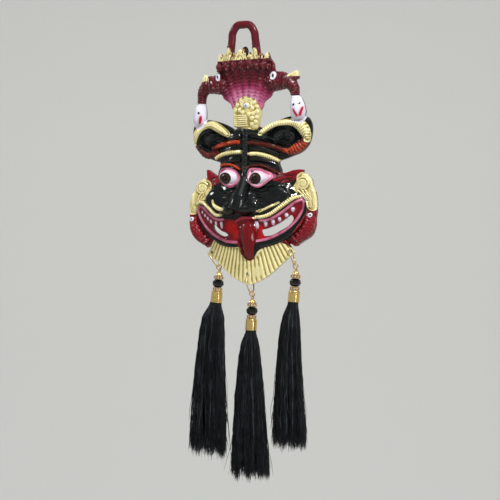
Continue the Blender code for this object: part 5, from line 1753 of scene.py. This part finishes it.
def painted_casting():
    made, tree, shader = finish("painted_casting")
    small = field(tree, "hollow_small")
    wide = field(tree, "hollow_wide")
    # 1 on raised edges and 0 in hollows: it places painted highlights and painted shade
    ridge = smooth_step(tree, small, 0.05, -0.05)
    mottle = grain_of(tree, 140.0, 4.0, 0.6)

    def area(name, wander=0.25, softness=0.07):
        return placed_group(tree, "border", Gap=field(tree, "paint_" + name), Wander=wander,
                            Softness=softness).outputs["Mask"]

    uneven = times(tree, less(tree, mottle, 0.5), 0.35)
    blush = plus(tree, field(tree, "blush"), uneven)
    hood = blended(tree, smooth_step(tree, blush, 0.05, 0.38), MAROON, MAGENTA)
    hood = blended(tree, smooth_step(tree, blush, 0.32, 0.62), hood, BLOOM)
    hood = blended(tree, smooth_step(tree, blush, 0.60, 0.95), hood, BLOOM_PALE)
    # Painted shade: the hood is painted darker in its hollows
    hollow_shade = times(tree, smooth_step(tree, small, 0.01, 0.09), 0.7)
    shaded_hood = blended(tree, smooth_step(tree, blush, 0.1, 0.6), MAROON_SHADE, MAGENTA)
    hood = blended(tree, hollow_shade, hood, shaded_hood)
    red_skin = blended(tree, area("maroon"), BLACK, hood)
    # Painted shade: crimson is painted darker from its edges into its hollows
    red_skin = blended(tree, area("crimson"), red_skin, blended(tree, ridge, CRIMSON_SHADE, CRIMSON))
    # Painted highlights: pale flecks on the ridges of the maroon, crimson and fish, partly a dry brush too
    flecks_and_highlights = placed_group(tree, "edge_tint", Colour=red_skin, Hollow=small, Bare=FLECK_AND_HIGHLIGHT,
                           Amount=times(tree, area("flecks_and_highlights"), 0.5), Sharpness=0.12)
    skin = blended(tree, area("mouth"), flecks_and_highlights.outputs["Colour"], MOUTH_RED)
    skin = blended(tree, area("black_under"), skin, BLACK)
    skin = blended(tree, area("red", 1.0, 1.6), skin, RED)
    skin = blended(tree, area("tongue"), skin, TONGUE_RED)
    # The arch's red, made paler as a painted highlight along its rim
    skin = blended(tree, area("arch"), skin, ARCH_RED)
    ember = plus(tree, field(tree, "ember"), uneven)
    glow = blended(tree, smooth_step(tree, ember, 0.05, 0.8), ORANGE_DEEP, ORANGE)
    # Painted shade: the orange is painted deep in its hollows
    glow = blended(tree, smooth_step(tree, small, 0.01, 0.08), glow, ORANGE_DEEP)
    skin = blended(tree, area("orange", 0.5), skin, glow)
    lip = blended(tree, smooth_step(tree, mottle, 0.3, 0.7), LIP_DULL, LIP_PINK)
    skin = blended(tree, area("pink"), skin, lip)
    # Painted highlight on the gold's ridges, then painted shade in its hollows
    gilding = blended(tree, ridge, GOLD, GOLD_HIGHLIGHT)
    gilding = blended(tree, smooth_step(tree, small, 0.01, 0.09), gilding, GOLD_SHADE)
    gold_mask = area("gold", 0.35)
    skin = blended(tree, gold_mask, skin, gilding)
    skin = blended(tree, area("white", 0.15), skin, WHITE)
    skin = blended(tree, times(tree, area("wash", 0.4, 0.8), 0.7), skin, WASH)
    reach = field(tree, "iris_reach")
    iris = blended(tree, smooth_step(tree, reach, 0.40, 0.46), PUPIL, IRIS_BROWN)
    iris = blended(tree, smooth_step(tree, reach, 0.80, 0.88), iris, IRIS_EDGE)
    iris = blended(tree, smooth_step(tree, reach, 0.20, 0.08), iris, IRIS_HEART)
    skin = blended(tree, area("iris", 0.1), skin, iris)
    skin = blended(tree, area("lips", 0.15), skin, STROKE_RED)
    skin = blended(tree, area("dots", 0.1), skin, BLACK)
    dusty = placed_group(tree, "dust", Colour=skin, Hollow=wide, Dust=DUST, Amount=0.16, Depth=0.6)
    rear = field(tree, "rear")
    bare = blended(tree, mottle, TARNISH, TARNISH_PALE)
    worn = placed_group(tree, "edge_tint", Colour=bare, Hollow=small, Bare=RAW_BRASS, Amount=0.4, Sharpness=0.16)
    skin = blended(tree, rear, dusty.outputs["Colour"], worn.outputs["Colour"])
    wire(tree, skin, shader.inputs["Base Color"])
    gloss = placed_group(tree, "gloss", Roughness=0.07, Spread=0.08, Scale=220.0).outputs["Roughness"]
    painted_rough = plus(tree, gloss, times(tree, gold_mask, 0.22))
    bare_rough = plus(tree, times(tree, rear, 0.35), times(tree, dusty.outputs["Mask"], 0.5))
    total = plus(tree, painted_rough, bare_rough, True)
    wire(tree, total, shader.inputs["Roughness"])
    metal = plus(tree, times(tree, gold_mask, 0.22), times(tree, rear, 0.6), True)
    wire(tree, metal, shader.inputs["Metallic"])
    grain = placed_group(tree, "grain", Fine=2600.0, Coarse=620.0, Balance=0.6).outputs["Height"]
    bumped(tree, shader, grain, 0.25, 0.0002)
    return made


# Sizes of the front and the rear on the chart, as shares of its height, and their places
FRONT_SIZE = 0.985
FRONT_PLACE = np.array([0.006, 0.006])
REAR_SIZE = 0.76
REAR_PLACE = np.array([0.565, 0.006])


def keep_chart(mesh, chart):
    """Stores a place on the chart for every corner of the mesh's faces."""
    layer = mesh.uv_layers.new(name="OFBake")
    layer.data.foreach_set("uv", chart.astype(np.float32).ravel())


def corners_of(mesh):
    corners = np.empty(len(mesh.loops), np.int32)
    mesh.loops.foreach_get("vertex_index", corners)
    return corners


def charted(mesh):
    """Chart for a baked picture: the front seen from the front, and the hollow side, smaller, beside it."""
    normals = np.empty(len(mesh.polygons) * 3, np.float32)
    mesh.polygons.foreach_get("normal", normals)
    sizes = np.empty(len(mesh.polygons), np.int32)
    mesh.polygons.foreach_get("loop_total", sizes)
    behind = np.repeat(normals.reshape(-1, 3)[:, 1] > 0.02, sizes)
    places = skin_of(mesh)[0][corners_of(mesh)]
    low = places.min(0)
    share = (places[:, :2] - low[:2]) / (places[:, 1].max() - low[1])
    chart = np.where(behind[:, None], share * REAR_SIZE + REAR_PLACE, share * FRONT_SIZE + FRONT_PLACE)
    keep_chart(mesh, chart)
    return chart.max(0)


casting.data.materials.clear()
casting.data.materials.append(painted_casting())
for face in casting.data.polygons:
    face.material_index = 0
print("paints over the black:", len(paint), "chart to", charted(casting.data).round(3))
casting.name = "painted_mask"
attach(casting, "root")
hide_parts("mask")

# %% [markdown]
# ## Finding the tassels
#
# Each tassel hangs a little differently, so its pieces are not typed in again. The axis runs through the
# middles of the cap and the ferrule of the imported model, and each piece takes its own ends and width along
# that axis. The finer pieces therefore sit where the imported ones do.

# %% Finding the tassels
LABELS = ("left", "middle", "right")


def points_of(name):
    """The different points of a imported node."""
    points = np.array([tuple(vertex.co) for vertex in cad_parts[name].data.vertices])
    return np.unique(np.round(points, 6), axis=0)


def hanging_axis(label):
    """Origin at the cap's middle, and the axes across, deep and up of a hanging stack."""
    cap = points_of(f"{label}_cap").mean(0)
    up = cap - points_of(f"{label}_ferrule").mean(0)
    up /= np.linalg.norm(up)
    across = np.array([1.0, 0, 0]) - up[0] * up
    across /= np.linalg.norm(across)
    return cap, np.array([across, np.cross(up, across), up])


def along_axis(label, part):
    """A node's points as places across, deep and up from the origin of its tassel's axis."""
    origin, turn = AXES[label]
    return (points_of(f"{label}_{part}") - origin) @ turn.T


def reach_of(label, part):
    """Lowest and highest point along the axis and the widest reach from it."""
    local = along_axis(label, part)
    return local[:, 2].min(), local[:, 2].max(), np.hypot(local[:, 0], local[:, 1]).max()


def placed_on(label, points):
    origin, turn = AXES[label]
    return points @ turn + origin


def ring_frame(points):
    """Centre, outer reach and axes of a ring of points, the last axis square to it."""
    centre = points.mean(0)
    axes = np.linalg.svd(points - centre)[2]
    flat = (points - centre) @ axes[:2].T
    return centre, np.hypot(flat[:, 0], flat[:, 1]).max(), axes


AXES = {label: hanging_axis(label) for label in LABELS}
for label in LABELS:
    print(label, "ferrule from", [round(float(value) / MM, 2) for value in reach_of(label, "ferrule")])

# %% [markdown]
# ## Rings, links and eye pins
#
# A jump ring is a piece of wire bent round until its two sawn ends meet, so each ring keeps a hair-wide gap.
# An eye pin is one wire with a loop turned at its top, which passes down through the whole stack.

# %% Rings, links and eye pins
RING_WIRE = 1.1
LINK_WIRE = 0.9
WIRE_SIDES = 12
# Degrees that a sawn ring stays open, and where round the ring and the link that is
SAWN_GAP = 3.0
RING_GAP_TURN = 60
LINK_GAP_TURN = 200
EYE_GAP_TURN = 20
# The pin's shank and the flat head that holds it inside the ferrule, in mm
PIN_RADIUS = 0.45
PIN_HEAD = 1.4


def bent_wire(centre, outer, axes, thickness, gap_turn, steps=48):
    """Round wire bent to a ring, open by a few degrees at gap_turn."""
    radius = thickness * MM / 2
    reach = outer - radius
    turns = np.radians(np.linspace(gap_turn + SAWN_GAP / 2, gap_turn + 360 - SAWN_GAP / 2, steps))
    circle = np.linspace(0, 2 * math.pi, WIRE_SIDES, endpoint=False)
    sections = []
    for turn in turns:
        outward = math.cos(turn) * axes[0] + math.sin(turn) * axes[1]
        spot = centre + reach * outward
        sections.append([spot + radius * (math.cos(a) * outward + math.sin(a) * axes[2]) for a in circle])
    return joined_sections(np.array(sections))


def eye_pin(label):
    height = along_axis(label, "pin")[:, 2]
    cap_top = reach_of(label, "cap")[1]
    loop = bent_wire(*ring_frame(points_of(f"{label}_pin")[height > cap_top + 0.2 * MM]), LINK_WIRE,
                     EYE_GAP_TURN)
    low = height.min()
    shank = [(PIN_RADIUS, cap_top / MM + 0.6), (PIN_RADIUS, low / MM + 0.5), (PIN_HEAD, low / MM + 0.4),
             (PIN_HEAD, low / MM + 0.1)]
    points, faces = joined_sections(lathe(shank, 16) * MM)
    return [loop, (placed_on(label, points), faces)]


wires = []
for label in LABELS:
    ring = bent_wire(*ring_frame(points_of(f"{label}_ring")), RING_WIRE, RING_GAP_TURN, 72)
    wires.append((solid(f"{label}_jump_ring", [ring]), f"{label}_ring", "gilt_wire"))
    link = bent_wire(*ring_frame(points_of(f"{label}_link")), LINK_WIRE, LINK_GAP_TURN)
    wires.append((solid(f"{label}_small_link", [link]), f"{label}_link", "copper_wire"))
    wires.append((solid(f"{label}_eye_pin", eye_pin(label)), f"{label}_pin", "gilt_wire"))
print("wires:", len(wires))

# %% [markdown]
# ## Caps and rondelles
#
# The caps are pressed domes with petals. The rondelles are gilt channels with a row of small clear stones
# glued in. The stones are cut to points, and a point attribute tells the finish which part is stone.

# %% Caps and rondelles
PETALS = 8
STONES = 10
STONE_POINTS = 32
# Cut through a cap: share of its radius and height from its top
CAP_PROFILE = [
    (0.30, 0.0), (0.36, 0.02), (0.42, 0.0), (0.50, -0.06), (0.66, -0.20), (0.80, -0.38), (0.90, -0.56),
    (0.97, -0.76), (1.0, -0.90), (0.97, -0.97), (0.90, -1.0), (0.82, -0.97), (0.80, -0.88), (0.3, -0.55),
]
# Cut through a rondelle: share of its radius and of its half height
RONDELLE_HALF = [(0.12, 0.92), (0.72, 0.92), (0.84, 1.0), (0.97, 0.98), (1.0, 0.86), (0.97, 0.74),
                 (0.84, 0.66)]
RONDELLE_PROFILE = RONDELLE_HALF + [(share, -level) for share, level in RONDELLE_HALF[::-1]]
# Reach and rise of a stone's sections: point, girdle below and above, flat top
STONE_CUT = ((0.001, -0.8), (1.0, 0.0), (1.0, 0.12), (0.55, 0.5))


def petalled(turns):
    return 0.94 + 0.10 * np.abs(np.cos(PETALS / 2 * turns))


def domed_cap(label):
    low, high, reach = reach_of(label, "cap")
    rows = [(share * reach * 0.97, high + level * (high - low)) for share, level in CAP_PROFILE]
    points, faces = joined_sections(lathe(rows, 96, petalled), closed=True)
    return [(placed_on(label, points), faces)]


def cut_stone(centre, outward, up, size):
    """A small stone with a flat top, eight crown facets and a pointed back."""
    side = np.cross(outward, up)
    rows = []
    for reach, rise in STONE_CUT:
        rows.append([centre + size * (rise * outward + reach * (math.cos(a) * side + math.sin(a) * up))
                     for a in np.radians(np.arange(0, 360, 45))])
    return joined_sections(np.array(rows))


def rondelle(label, part):
    """Channel and stones, with a list that is 1 at the stones' points."""
    low, high, reach = reach_of(label, part)
    middle = (low + high) / 2
    half = (high - low) / 2
    rows = [(share * reach, middle + level * half) for share, level in RONDELLE_PROFILE]
    points, faces = joined_sections(lathe(rows, 72), closed=True)
    parts = [(placed_on(label, points), faces)]
    origin, turn = AXES[label]
    for step in range(STONES):
        angle = 2 * math.pi * step / STONES
        outward = math.cos(angle) * turn[0] + math.sin(angle) * turn[1]
        centre = origin + turn[2] * middle + outward * reach * 0.90
        parts.append(cut_stone(centre, outward, turn[2], half * 0.66))
    stone = np.concatenate([np.zeros(len(points)), np.ones(STONES * STONE_POINTS)])
    return parts, stone


fittings = []
for label in LABELS:
    fittings.append((solid(f"{label}_domed_cap", domed_cap(label)), f"{label}_cap"))
    for part in ("upper_rondelle", "lower_rondelle"):
        parts, stone = rondelle(label, part)
        made = solid(f"{label}_{part}_stones", parts, 25.0)
        keep_attribute(made.data, "stone", stone)
        fittings.append((made, f"{label}_{part}"))
print("caps and rondelles:", len(fittings))

# %% [markdown]
# ## Beads and ferrules
#
# The bead is black glass cut with three belts of facets, turned half a facet against each other. The ferrule
# is a deep drawn cup with a rolled lip, polished like a mirror, that grips the bound head of the threads.

# %% Beads and ferrules
FACETS = 10
# Sections of a bead: share of its radius and half height, and turn in facets
BEAD_CUT = ((0.30, 0.90, 0), (0.42, 1.0, 0), (0.56, 1.0, 0), (0.86, 0.62, 0.5), (1.0, 0.20, 0),
            (1.0, -0.20, 0.5), (0.86, -0.62, 0), (0.56, -1.0, 0.5), (0.42, -1.0, 0.5), (0.30, -0.90, 0.5))
# Cut through a ferrule: share of its radius, and height from its top as a share of its length
FERRULE_PROFILE = [
    (0.10, 0.0), (0.62, 0.0), (0.74, -0.006), (0.86, -0.022), (0.94, -0.055), (0.975, -0.10), (0.98, -0.16),
    (0.965, -0.19), (0.965, -0.215), (0.98, -0.245), (0.98, -0.84), (0.985, -0.90), (1.0, -0.94),
    (1.0, -0.97), (0.985, -0.992), (0.95, -1.0), (0.90, -0.99), (0.87, -0.96), (0.87, -0.12), (0.10, -0.08),
]


def faceted_bead(label):
    low, high, reach = reach_of(label, "bead")
    middle = (low + high) / 2
    half = (high - low) / 2
    sections = []
    for share, level, shift in BEAD_CUT:
        turns = 2 * math.pi * (np.arange(FACETS) + shift) / FACETS
        sections.append(np.stack([share * reach * np.cos(turns), share * reach * np.sin(turns),
                                  np.full(FACETS, middle + level * half)], 1))
    points, faces = joined_sections(np.array(sections))
    return [(placed_on(label, points), faces)]


def drawn_ferrule(label):
    low, high, reach = reach_of(label, "ferrule")
    rows = [(share * reach, high + level * (high - low)) for share, level in FERRULE_PROFILE]
    points, faces = joined_sections(lathe(rows, 96), closed=True)
    return [(placed_on(label, points), faces)]


for label in LABELS:
    fittings.append((solid(f"{label}_cut_bead", faceted_bead(label), 5.0), f"{label}_bead"))
    fittings.append((solid(f"{label}_drawn_ferrule", drawn_ferrule(label), 30.0), f"{label}_ferrule"))
print("fittings:", len(fittings))

# %% [markdown]
# ## Thread skirts
#
# A skirt is many silky threads bound at the top, cut at the bottom and never combed since. Each thread here
# is a thin three-sided tube. Threads start spread over the ferrule's mouth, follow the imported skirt's own
# width and depth downwards, gather into locks, sway a little, and end at uneven heights. A few stray ones
# leave the rest. A dark core fills the middle, so no light shows through.

# %% Thread skirts
THREADS = 1900
THREAD_STEPS = 13
THREAD_RADIUS = 0.20
LOCKS = 44
STRAYS = 130
# Share of the skirt's length where its threads are cut
CUT_AT = 0.974
CORE_SIDES = 28
CORE_ROWS = 24
# Each thread's own sways: waves over its length, and size as a share of the skirt's half width
SWAYS = ((1.6, 0.05), (3.7, 0.022), (7.0, 0.012))
JITTER = 0.26
# Unevenness of the cut by lock and by thread, the share of threads that broke, and how much those lost
LOCK_UNEVEN = 0.013
THREAD_UNEVEN = 0.022
BROKEN = 0.12
BROKEN_LOSS = 0.14
# How far threads draw together into their lock, and how far a lock sways, as shares of the skirt's half width
GATHER = 0.45
LOCK_SWAY = 0.055
# Share of the skirt's length that runs up inside the ferrule, and how far a stray thread may leave the middle
TUCKED = 0.07
STRAY_LIMIT = 2.0
PACKED_LIMIT = 1.04


def skirt_levels(label):
    """Rows of depth below the ferrule's mouth, middle across and deep, and half width and depth."""
    mouth = reach_of(label, "ferrule")[0]
    local = along_axis(label, "skirt")
    rows = []
    for height in np.unique(np.round(local[:, 2] / MM, 1)):
        level = local[np.abs(local[:, 2] / MM - height) < 0.12]
        low, high = level.min(0), level.max(0)
        rows.append((mouth - level[:, 2].mean(), (low[0] + high[0]) / 2, (low[1] + high[1]) / 2,
                     (high[0] - low[0]) / 2, (high[1] - low[1]) / 2))
    return np.array(sorted(row for row in rows if row[3] > 1 * MM)), mouth


def skirt_shape(label):
    """Function of depth and place in a unit circle that gives places on the skirt's own axis."""
    rows, mouth = skirt_levels(label)

    def shape(depth, u, v):
        middle, back, wide, deep = (np.interp(depth, rows[:, 0], rows[:, column]) for column in (1, 2, 3, 4))
        return np.stack([middle + wide * u, back + deep * v, mouth - depth], -1)

    return shape, rows[-1, 0]


def threads(label, seed):
    """Places of the threads' middles: thread, step, coordinate. Also each thread's radius."""
    dice = np.random.default_rng(seed)
    shape, length = skirt_shape(label)
    count = THREADS + STRAYS
    reach = np.sqrt(dice.uniform(0.22, 1.0, count))
    turn = dice.uniform(0, 2 * math.pi, count)
    disc = np.stack([reach * np.cos(turn), reach * np.sin(turn)], 1)
    lock_turn = dice.uniform(0, 2 * math.pi, LOCKS)
    lock_reach = np.sqrt(dice.uniform(0.2, 0.95, LOCKS))
    locks = np.stack([lock_reach * np.cos(lock_turn), lock_reach * np.sin(lock_turn)], 1)
    own = np.argmin(np.linalg.norm(disc[:, None] - locks[None], axis=2), axis=1)
    lock_end = dice.normal(0, LOCK_UNEVEN, LOCKS)
    ends = CUT_AT + lock_end[own] + dice.normal(0, THREAD_UNEVEN, count)
    ends -= np.where(dice.uniform(0, 1, count) < BROKEN, dice.uniform(0, BROKEN_LOSS, count), 0)
    stray = np.arange(count) >= THREADS
    ends[stray] = dice.uniform(0.55, 1.03, STRAYS)
    share = np.linspace(-TUCKED, 1, THREAD_STEPS)[None] * np.clip(ends, 0.3, 1.045)[:, None]
    fall = np.clip(share, 0, 1)
    gather = GATHER * ease(0.1, 0.9, fall) * dice.uniform(0.4, 1.0, count)[:, None]
    place = disc[:, None] * (1 - gather[..., None]) + locks[own][:, None] * gather[..., None]
    lock_sway = dice.normal(0, LOCK_SWAY, (LOCKS, 2))[own]
    lock_wave = dice.uniform(0, 2 * math.pi, (LOCKS, 2))[own]
    place += lock_sway[:, None] * np.sin(fall[..., None] * 5.0 + lock_wave[:, None]) * fall[..., None]
    for waves, size in SWAYS:
        phase = dice.uniform(0, 2 * math.pi, (count, 2))
        sway = dice.normal(0, size, (count, 2))
        swing = np.sin(fall[..., None] * waves * 2 * math.pi + phase[:, None])
        place += sway[:, None] * swing * fall[..., None] ** 0.6
    outward = np.where(stray, dice.uniform(0.1, 0.6, count), 0)[:, None] * fall ** 2.4
    side = np.where(dice.uniform(0, 1, count) < 0.5, -1, 1)[:, None]
    place[..., 0] += outward * side
    mouth_share = ease(0.06, -0.01, share)
    place *= (1 - 0.10 * mouth_share)[..., None]
    reach_now = np.linalg.norm(place, axis=2)
    limit = np.where(stray[:, None], STRAY_LIMIT, PACKED_LIMIT)
    place *= np.minimum(1, limit / np.maximum(reach_now, 1e-6))[..., None]
    local = shape(share * length, place[..., 0], place[..., 1])
    world = placed_on(label, local.reshape(-1, 3)).reshape(count, THREAD_STEPS, 3)
    world += dice.normal(0, JITTER * MM, world.shape) * ease(0.02, 0.12, fall)[..., None]
    world[..., 1] = np.minimum(world[..., 1], WALL_Y - 0.3 * MM)
    return world, THREAD_RADIUS * MM * dice.uniform(0.7, 1.25, count)


def thread_tubes(lines, radii):
    """Points and faces of three-sided tubes, and their places on a chart of thread and length."""
    count, steps, _ = lines.shape
    along = np.gradient(lines, axis=1)
    along /= np.linalg.norm(along, axis=2, keepdims=True)
    side = np.cross(along, np.array([0.0, 1.0, 0.0]))
    side /= np.linalg.norm(side, axis=2, keepdims=True)
    up = np.cross(side, along)
    taper = np.ones(steps)
    taper[-1] = 0.45
    ring = []
    for corner in range(3):
        angle = 2 * math.pi * (corner + 0.25) / 3
        outward = math.cos(angle) * side + math.sin(angle) * up
        ring.append(lines + outward * (radii[:, None] * taper)[..., None])
    points = np.stack(ring, 2).reshape(-1, 3)
    start = (np.arange(count) * steps * 3)[:, None, None]
    step = (np.arange(steps - 1) * 3)[None, :, None]
    corner = np.arange(3)[None, None]
    ahead = (corner + 1) % 3
    here = start + step
    quads = np.stack([here + corner, here + ahead, here + 3 + ahead, here + 3 + corner], -1)
    ends = start[:, 0] + np.array([[0, 2, 1]])
    tips = start[:, 0] + (steps - 1) * 3 + np.array([[0, 1, 2]])
    chart = np.stack([np.repeat((np.arange(count) + 0.5) / count, steps * 3),
                      np.tile(np.repeat(np.linspace(0.02, 0.98, steps), 3), count)], 1)
    return points, quads.reshape(-1, 4).tolist() + ends.tolist() + tips.tolist(), chart


def skirt_core(label):
    shape, length = skirt_shape(label)
    turns = np.linspace(0, 2 * math.pi, CORE_SIDES, endpoint=False)
    sections = []
    for share in np.linspace(-0.04, 0.90, CORE_ROWS):
        slim = 0.84 - 0.34 * ease(0.5, 0.9, share)
        depth = np.full(CORE_SIDES, share * length)
        sections.append(shape(depth, slim * np.cos(turns), slim * np.sin(turns)))
    points, faces = joined_sections(np.array(sections))
    chart = np.full((len(points), 2), 0.5)
    return placed_on(label, points), faces, chart


def thread_skirt(label, seed):
    lines, radii = threads(label, seed)
    points, faces, chart = thread_tubes(lines, radii)
    core, core_faces, core_chart = skirt_core(label)
    core_faces = [[corner + len(points) for corner in face] for face in core_faces]
    mesh = bpy.data.meshes.new(f"{label}_thread_skirt")
    mesh.from_pydata(np.concatenate([points, core]).tolist(), [], faces + core_faces)
    dice = np.random.default_rng(seed + 50)
    shade = np.repeat(dice.uniform(0, 1, len(lines)), THREAD_STEPS * 3)
    keep_attribute(mesh, "thread_shade", np.concatenate([shade, np.zeros(len(core))]))
    keep_attribute(mesh, "thread_run", np.concatenate([chart[:, 1], np.full(len(core), 0.5)]))
    keep_chart(mesh, np.concatenate([chart, core_chart])[corners_of(mesh)])
    mesh.shade_smooth()
    return put(mesh, f"{label}_thread_skirt")


skirts = [(thread_skirt(label, 11 + number), f"{label}_skirt") for number, label in enumerate(LABELS)]
for made, _ in skirts:
    print(made.name, triangles(made.data), "triangles")

# %% [markdown]
# ## Finishes of the tassels
#
# The wires and ferrules are bright plated brass with a faint grain and duller spots. The stones are a
# separate area of the rondelle's finish. The thread is viscose, black with a cold sheen, and each thread has
# its own roughness. A few threads are painted grey along parts of their length as painted glints.


# %% Finishes of the tassels
# Colours of the fittings, bright and dull, and of the threads
WIRE_GILT = colour(250, 226, 168)
WIRE_GILT_DULL = colour(222, 186, 120)
WIRE_COPPER = colour(240, 206, 160)
WIRE_COPPER_DULL = colour(206, 150, 104)
CAP_GILT = colour(246, 216, 150)
CAP_GILT_DULL = colour(196, 150, 84)
FERRULE_GILT = colour(250, 220, 144)
FERRULE_GILT_DULL = colour(236, 198, 116)
GILT = colour(240, 206, 136)
GILT_DULL = colour(196, 146, 76)
STONE = colour(244, 224, 190)
THREAD_DARK = colour(3, 3, 5)
# Painted glint: the grey of the few lit threads
THREAD_GLINT_PAINT = colour(80, 86, 96)
THREAD_END = colour(48, 52, 58)


def plated(name, bright, dull, roughness, spread, metal):
    """Plated metal: its bright and dull colour, its roughness and how much that varies, and its metalness."""
    made, tree, shader = finish(name)
    patches = smooth_step(tree, grain_of(tree, 900.0, 3.0, 0.6), 0.35, 0.75)
    wire(tree, blended(tree, patches, bright, dull), shader.inputs["Base Color"])
    gloss = placed_group(tree, "gloss", Roughness=roughness, Spread=spread, Scale=900.0)
    wire(tree, gloss.outputs["Roughness"], shader.inputs["Roughness"])
    shader.inputs["Metallic"].default_value = metal
    grain = placed_group(tree, "grain", Fine=9000.0, Coarse=1500.0, Balance=0.5).outputs["Height"]
    bumped(tree, shader, grain, 0.15, 0.00005)
    return made


def stone_set():
    made, tree, shader = finish("gilt_with_stones")
    stone = smooth_step(tree, field(tree, "stone"), 0.4, 0.6)
    patches = smooth_step(tree, grain_of(tree, 1100.0, 3.0, 0.6), 0.35, 0.75)
    gilt = blended(tree, patches, GILT, GILT_DULL)
    wire(tree, blended(tree, stone, gilt, STONE), shader.inputs["Base Color"])
    gloss = placed_group(tree, "gloss", Roughness=0.26, Spread=0.15, Scale=900.0).outputs["Roughness"]
    wire(tree, times(tree, gloss, less(tree, 1.0, times(tree, stone, 0.8))), shader.inputs["Roughness"])
    wire(tree, less(tree, 1.0, times(tree, stone, 0.55)), shader.inputs["Metallic"])
    return made


def black_glass():
    made, tree, shader = finish("black_cut_glass")
    tone = blended(tree, grain_of(tree, 300.0), colour(2, 2, 3), colour(7, 7, 10))
    wire(tree, tone, shader.inputs["Base Color"])
    gloss = placed_group(tree, "gloss", Roughness=0.05, Spread=0.05, Scale=700.0)
    wire(tree, gloss.outputs["Roughness"], shader.inputs["Roughness"])
    shader.inputs["Coat Weight"].default_value = 0.6
    shader.inputs["Coat Roughness"].default_value = 0.03
    return made


def black_thread():
    made, tree, shader = finish("black_viscose_thread")
    shade = field(tree, "thread_shade")
    run = field(tree, "thread_run")
    # Painted glints: a few threads are painted grey along parts of their length
    streak = times(tree, shade, plus(tree, 0.5, times(tree, grain_of(tree, 160.0), 0.5)))
    tone = blended(tree, smooth_step(tree, streak, 0.58, 0.86), THREAD_DARK, THREAD_GLINT_PAINT)
    tone = blended(tree, smooth_step(tree, run, 0.93, 1.0), tone, THREAD_END)
    wire(tree, tone, shader.inputs["Base Color"])
    wire(tree, plus(tree, 0.26, times(tree, shade, 0.22)), shader.inputs["Roughness"])
    twist = node(tree, "ShaderNodeTexWave", {"Vector": node(tree, "ShaderNodeTexCoord").outputs["Object"],
                                              "Scale": 520.0, "Distortion": 6.0}, bands_direction="DIAGONAL")
    bumped(tree, shader, twist.outputs["Fac"], 0.3, 0.00005)
    shader.inputs["Sheen Weight"].default_value = 0.03
    shader.inputs["Sheen Tint"].default_value = (0.55, 0.68, 0.85, 1)
    return made


FINISHES = {
    "gilt_wire": plated("gilt_wire_bright", WIRE_GILT, WIRE_GILT_DULL, 0.26, 0.16, 0.75),
    "copper_wire": plated("copper_wire_bright", WIRE_COPPER, WIRE_COPPER_DULL, 0.26, 0.16, 0.75),
    "cap": plated("gilt_pressed", CAP_GILT, CAP_GILT_DULL, 0.28, 0.2, 0.7),
    "ferrule": plated("gilt_polished", FERRULE_GILT, FERRULE_GILT_DULL, 0.17, 0.06, 0.8),
    "stones": stone_set(), "glass": black_glass(), "thread": black_thread(),
}


def dress(made, node_name, paint_name, slot_name):
    made.data.materials.clear()
    made.data.materials.append(FINISHES[paint_name])
    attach(made, "root")
    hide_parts(node_name)


for made, node_name, slot_name in wires:
    dress(made, node_name, slot_name, slot_name)
FITTINGS = {"cap": ("cap", "gilt_filigree"), "bead": ("glass", "black_glass"),
            "ferrule": ("ferrule", "gilt_ferrule")}
RONDELLE = ("stones", "gilt_filigree")
for made, node_name in fittings:
    dress(made, node_name, *FITTINGS.get(node_name.split("_", 1)[1], RONDELLE))
for made, node_name in skirts:
    dress(made, node_name, "thread", "black_thread")
print("dressed tassel pieces:", len(wires) + len(fittings) + len(skirts))
